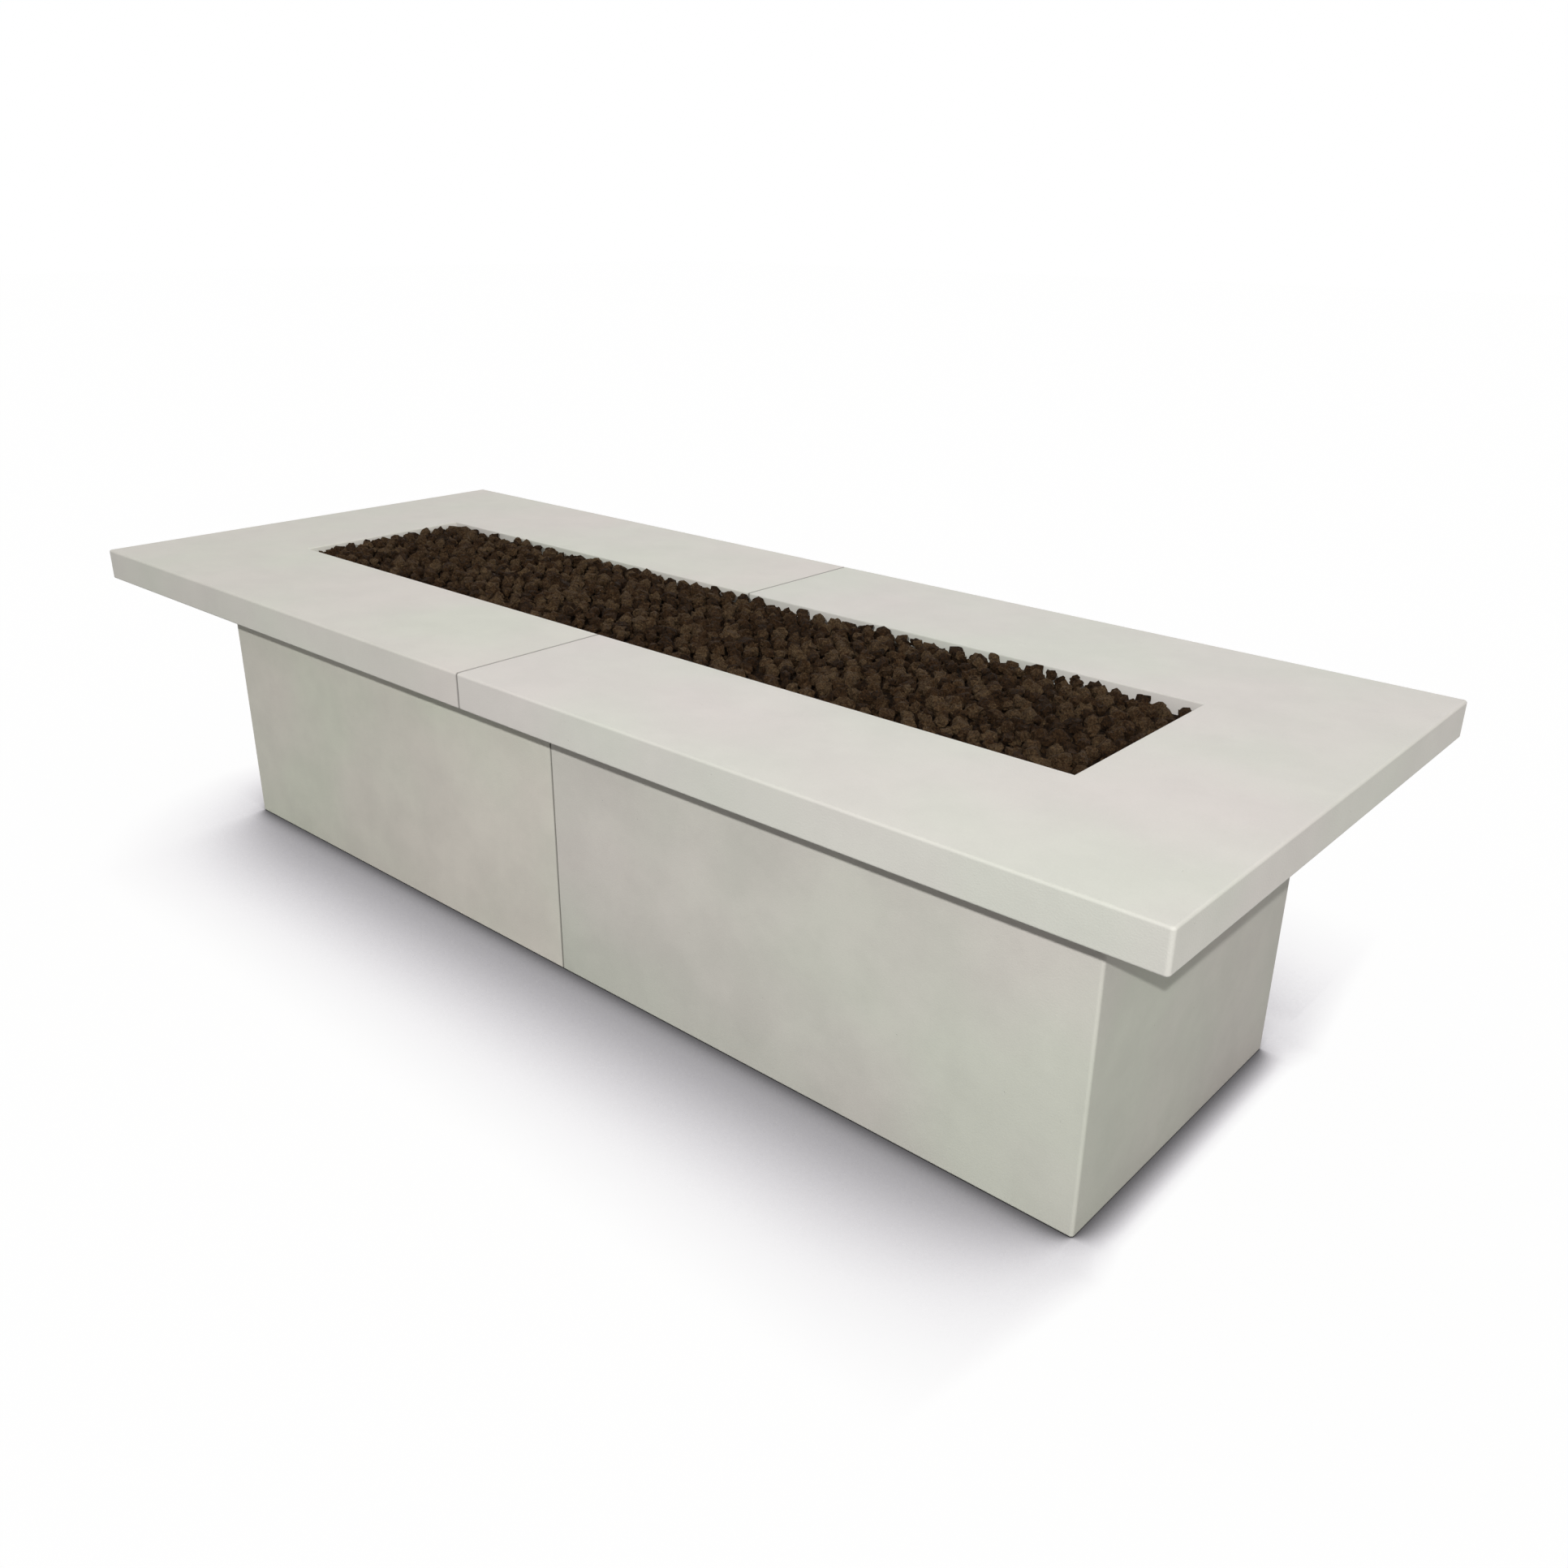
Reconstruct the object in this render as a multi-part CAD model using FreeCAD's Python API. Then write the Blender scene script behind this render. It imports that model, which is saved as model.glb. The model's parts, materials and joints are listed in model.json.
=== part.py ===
import FreeCAD, Part
import math
import os
import random

# Rectangular gas fire pit table of cast concrete, in millimetres.
# X runs along the length, -Y is the front, +Z is up, and the origin is on the floor under the centre.

V = FreeCAD.Vector
os.makedirs("parts", exist_ok=True)

# Slab
table_height = 610.0
slab_length = 2438.0
slab_width = 972.0
slab_thickness = 60.0
slab_skin = 28.0
slab_rim = 34.0
slab_arris = 4.0
slab_corner_radius = 6.0
slab_under_radius = 3.0
seam_gap = 2.0
seam_arris = 1.2
opening_end_inset = 131.0
opening_side_inset = 119.0
opening_arris = 2.0
ledge_width = 25.0
ledge_thickness = 25.0
pocket_length_most = 210.0
pocket_rib = 26.0
pocket_margin = 16.0
pocket_draft = 6.0

# Base
end_overhang = 158.0
side_overhang = 177.0
base_wall = 20.0
base_corner_radius = 5.0
base_foot_radius = 3.0
top_flange_width = 70.0
top_flange_thickness = 25.0
foot_return_width = 40.0
foot_return_height = 20.0
cavity_radius = 10.0
seam_flange_depth = 60.0
seam_flange_thickness = 25.0
rib_depth = 30.0
rib_root = 34.0
rib_tip = 22.0
rib_spacing = 560.0
bay_end_inset = 501.0

# Bolts and screws
seam_bolt_radius = 5.0
seam_bolt_flats = 16.0
seam_bolt_head = 6.5
seam_bolt_count = 3
seam_bolt_edge = 95.0
bolt_clearance = 0.5
washer_thickness = 1.6
nut_height = 8.0
thread_stand_out = 3.0
slab_screw_radius = 4.0
slab_screw_flats = 13.0
slab_screw_head = 5.5
slab_screw_depth = 20.0
slab_screw_shares = (0.14, 0.54, 0.905)
slab_end_screw_share = 0.485
slab_washer_radius = 8.0
seam_washer_radius = 10.0
thread_clearance = 0.1
splice_length = 240.0
splice_margin = 10.0
splice_thickness = 6.0
splice_screw_pitch = 60.0
trim_screw_radius = 2.0
trim_screw_head_radius = 4.2
trim_screw_head = 2.4
trim_screw_crown = 1.4
trim_screw_depth = 14.0

# Burner pan
pan_sheet = 2.0
pan_depth = 72.0
pan_flange_gap = 4.0
pan_wall_gap = 5.0
drain_radius = 6.0
drain_pitch = 280.0
drain_count = 6
drain_inset = 50.0

# Burner
burner_radius = 12.5
burner_bore = 10.5
burner_height = 30.0
burner_end_gap = 38.0
tee_half_length = 34.0
tee_socket = 16.0
tee_radius = 17.0
tee_rim = 2.0
tee_rim_length = 6.0
fitting_clearance = 0.05
port_radius = 1.6
port_pitch = 36.0
cap_length = 18.0
cap_wall = 2.5
cap_crown = 2.0
saddle_places = (230.0, 640.0)
saddle_width = 40.0
saddle_foot = 16.0
saddle_sheet = 2.0
saddle_wrap = 3.0
nipple_radius = 10.5
nipple_bore = 7.5
nipple_hole_gap = 0.5
nipple_grip = 0.8
locknut_flats = 34.0
locknut_height = 7.0

# Gas line
hose_radius = 8.0
hose_bore = 6.0
hose_nut_flats = 24.0
hose_nut_length = 16.0
elbow_radius = 11.5
elbow_bore = 6.0
elbow_drop = 16.0
elbow_reach = 34.0
clip_sheet = 1.5
clip_width = 14.0
clip_tab = 17.0
hose_lead = 105.0
hose_bend_share = 0.45
clip_straight = 120.0
clip_drop = 21.0
clip_shares = (0.31, 0.715)
clip_side_shares = (0.77, 0.25)
hose_sag = 10.0

# Key valve
valve_below_top = 114.0
valve_y = -120.0
valve_nose_radius = 13.0
valve_hole_gap = 1.0
valve_nose_socket = 9.0
valve_nut_flats = 40.0
valve_nut_height = 8.0
valve_body_radius = 21.0
valve_shoulder = 4.0
valve_body_length = 56.0
valve_body_half_height = 28.0
valve_port_radius = 13.0
valve_passage = 5.0
plug_radius = 11.0
plug_length = 26.0
plug_stem_radius = 5.0
plug_square = 6.8
plug_square_length = 14.0
plug_end_gap = 0.1
nose_recess = 1.0
valve_cap_head = 6.0
valve_cap_flats = 26.0
escutcheon_radius = 34.0
escutcheon_thickness = 4.0
escutcheon_lip = 2.0
key_radius = 7.0
key_stand_out = 66.0
key_bow_radius = 4.5
key_bow_length = 60.0
key_socket_gap = 0.1
key_end_gap = 0.4
key_tip_gap = 1.0
running_gap = 0.05

# Riser and shut-off valve
riser_radius = 8.5
riser_bore = 6.5
riser_length = 166.0
riser_socket = 10.0
riser_bracket_sheet = 2.5
riser_bracket_height = 18.0
riser_bracket_foot = 46.0
bracket_screw_inset = 8.0
shutoff_length = 76.0
shutoff_flats = 32.0
shutoff_hex_length = 18.0
shutoff_barrel_radius = 20.0
inlet_radius = 9.5
inlet_depth = 16.0
ball_radius = 13.0
ball_bore = 6.5
ball_stem_radius = 4.0
shutoff_neck_radius = 8.0
shutoff_neck_reach = 32.0
lever_thickness = 3.0
lever_width = 16.0
lever_length = 104.0
lever_grip_length = 70.0
lever_grip_wall = 1.6
lever_nut_flats = 12.0
lever_nut_height = 5.0
stem_stand_out = 1.0

# Access door on the back of the left half
door_opening_width = 400.0
door_opening_bottom = 90.0
door_opening_drop = 100.0
frame_sheet = 2.0
frame_flange = 40.0
frame_sleeve_depth = 12.0
frame_lip = 12.0
frame_fit_gap = 0.5
frame_screw_inset = 26.0
door_overlap = 8.0
door_sheet = 1.5
door_depth = 15.0
door_rim_radius = 1.3
door_gap = 1.0
hinge_barrel_radius = 5.0
hinge_pin_radius = 2.5
hinge_knuckle = 20.0
hinge_knuckle_gap = 0.4
hinge_leaf_sheet = 2.0
hinge_leaf_width = 24.0
hinge_side_gap = 0.6
hinge_leaf_inset = 1.0
hinge_edge = 62.0
pin_head_radius = 4.0
pin_head = 2.5
latch_from_edge = 38.0
latch_housing_radius = 9.0
latch_flange_radius = 14.0
latch_flange = 2.5
latch_nut_flats = 24.0
latch_nut_height = 4.0
latch_spindle_radius = 5.0
latch_square = 6.6
latch_wing_length = 30.0
latch_wing_width = 7.0
latch_wing_height = 13.0
latch_wing_radius = 2.0
latch_knob_radius = 12.0
latch_knob_depth = 3.0
cam_thickness = 3.0
cam_width = 16.0
cam_reach = 33.0
cam_gap = 1.0
cam_nut_flats = 11.0
cam_nut_height = 4.0

# Vents
vent_width = 254.0
vent_height = 102.0
vent_border = 20.0
vent_sheet = 1.6
vent_slots = 5
vent_slot_height = 11.0
vent_louvre_reach = 9.0
vent_centre_height = 150.0
end_vent_margin = 50.0

# Lava rock
rock_seed = 7
rock_pitch = 19.0
rock_shift = 0.32
rock_rough = 4.0
rock_relief = 12.0
rock_wall_relief = 5.0
rock_side_level = -2.0
rock_left_level = -4.0
rock_right_level = -12.0
rock_crown_level = 7.0
rock_end_run = 330.0
rock_wall_gap = 0.3
rock_tunnel_gap = 8.0

# Working values
spare = 1.0
touch = 0.01

# Levels and places that follow from the sizes
slab_bottom = table_height - slab_thickness
base_height = slab_bottom
base_length = slab_length - 2 * end_overhang
base_width = slab_width - 2 * side_overhang
opening_length = base_length - 2 * opening_end_inset
opening_width = base_width - 2 * opening_side_inset
bay_centre = base_length / 2 - bay_end_inset
rib_places = (bay_centre - rib_spacing / 2, bay_centre + rib_spacing / 2)
slab_screw_places = [share * base_length / 2 for share in slab_screw_shares]
slab_end_screw_y = slab_end_screw_share * base_width / 2
ledge_top = slab_bottom + ledge_thickness
pan_bottom = ledge_top - pan_depth
pan_floor = pan_bottom + pan_sheet
burner_z = pan_floor + burner_height
pan_half_length = opening_length / 2 - ledge_width - pan_wall_gap
pan_half_width = opening_width / 2 - ledge_width - pan_wall_gap
burner_half_length = pan_half_length - pan_sheet - burner_end_gap
drain_offset = pan_half_width - drain_inset
wall_inner_x = base_length / 2 - base_wall
wall_inner_y = base_width / 2 - base_wall
valve_z = base_height - valve_below_top
valve_face = -base_length / 2
valve_body_start = -wall_inner_x + valve_nut_height + valve_shoulder
valve_centre_x = valve_body_start + valve_body_length / 2
outlet_z = valve_z + valve_body_half_height + elbow_drop
burner_inlet_z = pan_bottom - locknut_height - elbow_drop
shutoff_top = valve_z - valve_body_half_height - riser_length + 2 * riser_socket
shutoff_bottom = shutoff_top - shutoff_length
shutoff_z = (shutoff_top + shutoff_bottom) / 2
door_x0 = -bay_centre - door_opening_width / 2
door_x1 = -bay_centre + door_opening_width / 2
door_z0 = door_opening_bottom
door_z1 = base_height - door_opening_drop
wall_face = base_width / 2
frame_face = wall_face + frame_sheet
frame_lip_back = frame_face - frame_sleeve_depth
door_back = frame_face + door_gap
door_front = door_back + door_depth
hinge_x = door_x0 - door_overlap - hinge_side_gap - hinge_leaf_sheet - hinge_barrel_radius
hinge_y = frame_face + hinge_leaf_sheet + hinge_side_gap + hinge_barrel_radius
latch_x = door_x1 - latch_from_edge
latch_z = (door_z0 + door_z1) / 2
end_vent_centre = wall_inner_y - vent_width / 2 - end_vent_margin
plate_inner_y = opening_width / 2 - ledge_width
plate_outer_y = base_width / 2 - top_flange_width
plate_y = (plate_inner_y + plate_outer_y) / 2
splice_width = plate_outer_y - plate_inner_y - 2 * splice_margin
flange_middle_y = base_width / 2 - (base_wall + top_flange_width) / 2
flange_middle_x = base_length / 2 - (base_wall + top_flange_width) / 2
nose_end = valve_face - escutcheon_thickness
square_base = nose_end + nose_recess + plug_square_length
plug_front = valve_centre_x - plug_length / 2
plug_rear = valve_centre_x + plug_length / 2


# Shapes used throughout

def box(x0, x1, y0, y1, z0, z1):
    return Part.makeBox(x1 - x0, y1 - y0, z1 - z0, V(x0, y0, z0))


def rod(radius, start, direction, length):
    return Part.makeCylinder(radius, length, V(*start), V(*direction))


def hex_prism(flats, start, direction, length):
    corner = flats / math.sqrt(3)
    points = [V(corner * math.cos(math.radians(60 * i)), corner * math.sin(math.radians(60 * i)), 0)
              for i in range(6)]
    face = Part.Face(Part.makePolygon(points + points[:1]))
    prism = face.extrude(V(0, 0, length))
    turn = FreeCAD.Rotation(V(0, 0, 1), V(*direction))
    prism.Placement = FreeCAD.Placement(V(*start), turn)
    return prism


def prism_along_x(outline, x0, x1):
    points = [V(x0, y, z) for y, z in outline]
    face = Part.Face(Part.makePolygon(points + points[:1]))
    return face.extrude(V(x1 - x0, 0, 0))


def prism_along_z(outline, z0, z1):
    points = [V(x, y, z0) for x, y in outline]
    face = Part.Face(Part.makePolygon(points + points[:1]))
    return face.extrude(V(0, 0, z1 - z0))


def join(pieces):
    return pieces[0].multiFuse(pieces[1:]).removeSplitter()


def mirrored(shape):
    return shape.mirror(V(0, 0, 0), V(1, 0, 0))


def save(name, solids):
    shape = solids[0] if len(solids) == 1 else Part.makeCompound(solids)
    shape.exportStep("parts/" + name + ".step")
    print(name, len(shape.Solids), "solids", round(shape.Volume / 1000.0, 1), "cm3", shape.isValid())


def edges_where(shape, test):
    chosen = []
    for edge in shape.Edges:
        ends = [vertex.Point for vertex in edge.Vertexes]
        if len(ends) == 2 and test(ends[0], ends[1]):
            chosen.append(edge)
    return chosen


def near(a, b):
    return abs(a - b) < touch


# Screw and bolt places

def slab_screw_spots(side):
    spots = [(side * x, sy * flange_middle_y) for x in slab_screw_places for sy in (-1, 1)]
    spots += [(side * flange_middle_x, sy * slab_end_screw_y) for sy in (-1, 1)]
    return spots


def splice_screw_spots(side):
    return [(side * splice_screw_pitch * (i + 0.5), sy * plate_y) for i in range(2) for sy in (-1, 1)]


def seam_bolt_spots():
    y = wall_inner_y - seam_flange_depth / 2
    step = (base_height - 2 * seam_bolt_edge) / (seam_bolt_count - 1)
    return [(sy * y, seam_bolt_edge + i * step) for sy in (-1, 1) for i in range(seam_bolt_count)]


def frame_screw_spots():
    left = door_x0 - frame_screw_inset
    right = door_x1 + frame_screw_inset
    low = door_z0 - frame_screw_inset
    high = door_z1 + frame_screw_inset
    middle = (low + high) / 2
    spots = [(x, z) for x in (left, right) for z in (low, middle, high)]
    spots += [(-bay_centre, z) for z in (low, high)]
    return spots


def trim_hole(start, inward):
    start = V(*start)
    inward = V(*inward)
    depth = trim_screw_depth + 2 * spare
    return Part.makeCylinder(trim_screw_radius + thread_clearance, depth, start - inward * spare, inward)


def vent_screw_spots():
    dx = vent_width / 2 + vent_border / 2
    dz = vent_height / 2 + vent_border / 2
    return [(sx * dx, sz * dz) for sx in (-1, 1) for sz in (-1, 1)]


# Slab halves, cast hollow with a rim, ribs and a ledge for the pan

def tapered_pocket(x0, x1, y0, y1):
    top = slab_bottom + slab_thickness - slab_skin
    grow = pocket_draft
    low = slab_bottom - spare
    floor = [V(x0, y0, low), V(x1, y0, low), V(x1, y1, low), V(x0, y1, low)]
    roof = [V(x0 + grow, y0 + grow, top), V(x1 - grow, y0 + grow, top),
            V(x1 - grow, y1 - grow, top), V(x0 + grow, y1 - grow, top)]
    wires = [Part.makePolygon(loop + loop[:1]) for loop in (floor, roof)]
    return Part.makeLoft(wires, True, True)


def split_run(start, end):
    count = max(1, math.ceil((end - start + pocket_rib) / (pocket_length_most + pocket_rib)))
    length = (end - start - (count - 1) * pocket_rib) / count
    return [(start + i * (length + pocket_rib), start + i * (length + pocket_rib) + length)
            for i in range(count)]


def slab_pockets():
    side_y0 = base_width / 2 + pocket_margin
    side_y1 = slab_width / 2 - slab_rim
    end_x0 = base_length / 2 + pocket_margin
    end_x1 = slab_length / 2 - slab_rim
    pockets = []
    for x0, x1 in split_run(seam_gap / 2 + slab_rim, end_x1):
        pockets.append(tapered_pocket(x0, x1, side_y0, side_y1))
        pockets.append(tapered_pocket(x0, x1, -side_y1, -side_y0))
    for y0, y1 in split_run(-side_y0 + pocket_rib, side_y0 - pocket_rib):
        pockets.append(tapered_pocket(end_x0, end_x1, y0, y1))
    return pockets


def slab_half():
    end_x = slab_length / 2
    side_y = slab_width / 2
    slab = box(seam_gap / 2, end_x, -side_y, side_y, slab_bottom, table_height)
    corners = edges_where(slab, lambda a, b: near(a.x, end_x) and near(b.x, end_x) and near(a.y, b.y))
    slab = slab.makeFillet(slab_corner_radius, corners)
    rim = edges_where(slab, lambda a, b: near(a.z, table_height) and near(b.z, table_height)
                      and max(a.x, b.x) > end_x / 2)
    slab = slab.makeFillet(slab_arris, rim)
    under = edges_where(slab, lambda a, b: near(a.z, slab_bottom) and near(b.z, slab_bottom)
                        and max(a.x, b.x) > end_x / 2)
    slab = slab.makeFillet(slab_under_radius, under)
    seam = edges_where(slab, lambda a, b: near(a.x, seam_gap / 2) and near(b.x, seam_gap / 2)
                       and not (near(a.z, slab_bottom) and near(b.z, slab_bottom)))
    slab = slab.makeFillet(seam_arris, seam)
    half_length = opening_length / 2
    half_width = opening_width / 2
    fire_opening = box(-seam_gap, half_length, -half_width, half_width, ledge_top, table_height + spare)
    pan_opening = box(-seam_gap, half_length - ledge_width, -half_width + ledge_width,
                      half_width - ledge_width, slab_bottom - spare, ledge_top + spare)
    slab = slab.cut([fire_opening, pan_opening])
    lip = edges_where(slab, lambda a, b: near(a.z, table_height) and near(b.z, table_height)
                      and max(abs(a.y), abs(b.y)) < half_width + spare and max(a.x, b.x) < half_length + spare
                      and not (near(a.x, b.x) and a.x < seam_gap + seam_arris))
    slab = slab.makeFillet(opening_arris, lip)
    holes = [rod(slab_screw_radius + thread_clearance, (x, y, slab_bottom - spare), (0, 0, 1),
                 slab_screw_depth + thread_stand_out + spare)
             for x, y in slab_screw_spots(1) + splice_screw_spots(1)]
    return slab.cut(slab_pockets() + holes)


# Base halves, thin cast walls with a bearing flange, a foot return and a bolted seam flange

def base_half():
    end_x = base_length / 2
    side_y = base_width / 2
    start = seam_gap / 2
    shell = box(start, end_x, -side_y, side_y, 0, base_height)
    corners = edges_where(shell, lambda a, b: near(a.x, end_x) and near(b.x, end_x) and near(a.y, b.y))
    shell = shell.makeFillet(base_corner_radius, corners)
    foot = edges_where(shell, lambda a, b: near(a.z, 0) and near(b.z, 0) and max(a.x, b.x) > end_x / 2)
    shell = shell.makeFillet(base_foot_radius, foot)
    seam = edges_where(shell, lambda a, b: near(a.x, start) and near(b.x, start) and near(a.y, b.y))
    shell = shell.makeFillet(seam_arris, seam)
    cavity = box(-end_x, wall_inner_x, -wall_inner_y, wall_inner_y,
                 foot_return_height, base_height - top_flange_thickness)
    cavity = cavity.makeFillet(cavity_radius, cavity.Edges)
    hatch_x = end_x - top_flange_width
    hatch_y = side_y - top_flange_width
    hatch = box(-end_x, hatch_x, -hatch_y, hatch_y, foot_return_height + spare, base_height + spare)
    floor_x = end_x - foot_return_width
    floor_y = side_y - foot_return_width
    floor_opening = box(-end_x, floor_x, -floor_y, floor_y, -spare,
                        base_height - top_flange_thickness - spare)
    shell = shell.cut([cavity, hatch, floor_opening])
    additions = []
    for sy in (-1, 1):
        y0, y1 = sorted((sy * (wall_inner_y - seam_flange_depth), sy * (wall_inner_y + base_wall / 2)))
        additions.append(box(start, start + seam_flange_thickness, y0, y1,
                             foot_return_height / 2, base_height - top_flange_thickness / 2))
        for x in rib_places:
            tip = sy * (wall_inner_y - rib_depth)
            root = sy * (wall_inner_y + base_wall / 2)
            outline = [(x - rib_root / 2, root), (x + rib_root / 2, root),
                       (x + rib_tip / 2, tip), (x - rib_tip / 2, tip)]
            additions.append(prism_along_z(outline, foot_return_height / 2,
                                           base_height - top_flange_thickness / 2))
    shell = join([shell] + additions)
    bolt_reach = start + seam_flange_thickness + spare
    holes = [rod(seam_bolt_radius + bolt_clearance, (0, y, z), (1, 0, 0), bolt_reach)
             for y, z in seam_bolt_spots()]
    holes += [rod(slab_screw_radius + bolt_clearance,
                  (x, y, base_height - top_flange_thickness - spare), (0, 0, 1),
                  top_flange_thickness + 2 * spare)
              for x, y in slab_screw_spots(1)]
    return shell.cut(holes)


def back_vent_cuts(centre_x):
    opening = box(centre_x - vent_width / 2, centre_x + vent_width / 2,
                  wall_inner_y - spare, wall_face + spare,
                  vent_centre_height - vent_height / 2, vent_centre_height + vent_height / 2)
    holes = [trim_hole((centre_x + dx, wall_face, vent_centre_height + dz), (0, -1, 0))
             for dx, dz in vent_screw_spots()]
    return [opening] + holes


def end_vent_cuts():
    opening = box(-base_length / 2 - spare, -wall_inner_x + spare, end_vent_centre - vent_width / 2,
                  end_vent_centre + vent_width / 2,
                  vent_centre_height - vent_height / 2, vent_centre_height + vent_height / 2)
    holes = [trim_hole((-base_length / 2, end_vent_centre + dy, vent_centre_height + dz), (1, 0, 0))
             for dy, dz in vent_screw_spots()]
    return [opening] + holes


def door_cuts():
    opening = box(door_x0, door_x1, wall_inner_y - spare, wall_face + spare, door_z0, door_z1)
    holes = [trim_hole((x, wall_face, z), (0, -1, 0)) for x, z in frame_screw_spots()]
    return [opening] + holes


def valve_cuts():
    cuts = [rod(valve_nose_radius + valve_hole_gap, (valve_face - spare, valve_y, valve_z), (1, 0, 0),
                base_wall + 2 * spare)]
    cuts += [trim_hole((-wall_inner_x, y, z), (-1, 0, 0)) for y, z in bracket_screw_spots()]
    return cuts


# Fasteners

def slab_screws(spots, seat):
    screws = []
    for x, y in spots:
        head = hex_prism(slab_screw_flats, (x, y, seat - slab_screw_head), (0, 0, 1), slab_screw_head)
        shank = rod(slab_screw_radius, (x, y, seat), (0, 0, 1), slab_bottom + slab_screw_depth - seat)
        screws.append(join([head, shank]))
    return screws


def ring(outer, inner, start, direction, length):
    return rod(outer, start, direction, length).cut(rod(inner, start, direction, length))


def seam_bolts():
    bolts = []
    reach = seam_gap / 2 + seam_flange_thickness + washer_thickness
    for y, z in seam_bolt_spots():
        head = hex_prism(seam_bolt_flats, (-reach - seam_bolt_head, y, z), (1, 0, 0), seam_bolt_head)
        shank = rod(seam_bolt_radius, (-reach, y, z), (1, 0, 0), 2 * reach + nut_height + thread_stand_out)
        bolts.append(join([head, shank]))
    return bolts


def seam_nuts():
    reach = seam_gap / 2 + seam_flange_thickness + washer_thickness
    nuts = []
    for y, z in seam_bolt_spots():
        nut = hex_prism(seam_bolt_flats, (reach, y, z), (1, 0, 0), nut_height)
        nuts.append(nut.cut(rod(seam_bolt_radius + thread_clearance, (reach, y, z), (1, 0, 0), nut_height)))
    return nuts


def seam_washers():
    inner = seam_gap / 2 + seam_flange_thickness
    hole = seam_bolt_radius + bolt_clearance
    return [ring(seam_washer_radius, hole, (x, y, z), (1, 0, 0), washer_thickness)
            for y, z in seam_bolt_spots() for x in (-inner - washer_thickness, inner)]


def slab_washers():
    seat = base_height - top_flange_thickness - washer_thickness
    return [ring(slab_washer_radius, slab_screw_radius + bolt_clearance, (x, y, seat), (0, 0, 1),
                 washer_thickness) for side in (-1, 1) for x, y in slab_screw_spots(side)]


def splice_plates():
    plates = []
    for sy in (-1, 1):
        plate = box(-splice_length / 2, splice_length / 2, sy * plate_y - splice_width / 2,
                    sy * plate_y + splice_width / 2, slab_bottom - splice_thickness, slab_bottom)
        holes = [rod(slab_screw_radius + bolt_clearance, (x, y, slab_bottom - 2 * splice_thickness),
                     (0, 0, 1), 3 * splice_thickness)
                 for side in (-1, 1) for x, y in splice_screw_spots(side)]
        corners = edges_where(plate, lambda a, b: near(a.x, b.x) and near(a.y, b.y))
        plates.append(plate.makeFillet(splice_thickness, corners).cut(holes))
    return plates


def trim_screw(start, inward):
    start = V(*start)
    inward = V(*inward)
    shank = Part.makeCylinder(trim_screw_radius, trim_screw_depth, start, inward)
    top = start - inward * trim_screw_head
    head = Part.makeCylinder(trim_screw_head_radius, trim_screw_head, top, inward)
    crown = [edge for edge in head.Edges if near((edge.CenterOfMass - start).Length, trim_screw_head)
             and len(edge.Vertexes) == 1]
    head = head.makeFillet(trim_screw_crown, crown)
    return join([shank, head])


# Burner pan, a folded steel tray that drops into the ledge

def burner_pan():
    flange_x = opening_length / 2 - pan_flange_gap
    flange_y = opening_width / 2 - pan_flange_gap
    inner_x = pan_half_length - pan_sheet
    inner_y = pan_half_width - pan_sheet
    flange_top = ledge_top + pan_sheet
    flange = box(-flange_x, flange_x, -flange_y, flange_y, ledge_top, flange_top)
    tray = box(-pan_half_length, pan_half_length, -pan_half_width, pan_half_width, pan_bottom, flange_top)
    hollow = box(-inner_x, inner_x, -inner_y, inner_y, pan_floor, flange_top + spare)
    pan = join([flange, tray]).cut(hollow)
    first = -(drain_count - 1) / 2 * drain_pitch
    foot = pan_bottom - spare
    depth = pan_sheet + 2 * spare
    holes = [rod(drain_radius, (first + i * drain_pitch, sy * drain_offset, foot), (0, 0, 1), depth)
             for i in range(drain_count) for sy in (-1, 1)]
    holes.append(rod(nipple_radius + nipple_hole_gap, (0, 0, foot), (0, 0, 1), depth))
    return pan.cut(holes)


# Linear burner, two ported tubes screwed into a centre tee

def burner_tube():
    start = tee_half_length - tee_socket
    end = burner_half_length - cap_wall
    tube = ring(burner_radius, burner_bore, (start, 0, burner_z), (1, 0, 0), end - start)
    first = tee_half_length + port_pitch / 2
    count = int((burner_half_length - cap_length - port_pitch / 2 - first) / port_pitch) + 1
    ports = [rod(port_radius, (first + i * port_pitch, 0, burner_z), (0, 0, 1), burner_radius + spare)
             for i in range(count)]
    return tube.cut(ports)


def burner_tee():
    branch_foot = pan_floor + locknut_height
    socket = burner_radius + fitting_clearance
    run = rod(tee_radius, (-tee_half_length, 0, burner_z), (1, 0, 0), 2 * tee_half_length)
    rims = [rod(tee_radius + tee_rim, (x, 0, burner_z), (1, 0, 0), tee_rim_length)
            for x in (-tee_half_length, tee_half_length - tee_rim_length)]
    branch = rod(tee_radius, (0, 0, branch_foot), (0, 0, 1), burner_z - branch_foot)
    tee = join([run, branch] + rims)
    cuts = [rod(burner_bore, (-tee_half_length, 0, burner_z), (1, 0, 0), 2 * tee_half_length)]
    cuts += [rod(socket, (x, 0, burner_z), (1, 0, 0), tee_socket)
             for x in (-tee_half_length, tee_half_length - tee_socket)]
    cuts.append(rod(nipple_bore, (0, 0, branch_foot - spare), (0, 0, 1), burner_z - branch_foot + spare))
    cuts.append(rod(nipple_radius + fitting_clearance, (0, 0, branch_foot - spare), (0, 0, 1),
                    nipple_reach() + spare))
    return tee.cut(cuts)


def nipple_reach():
    return (burner_z - burner_bore - pan_floor - locknut_height) * nipple_grip


def inlet_nipple():
    foot = pan_bottom - locknut_height
    top = pan_floor + locknut_height + nipple_reach()
    return ring(nipple_radius, nipple_bore, (0, 0, foot), (0, 0, 1), top - foot)


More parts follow.
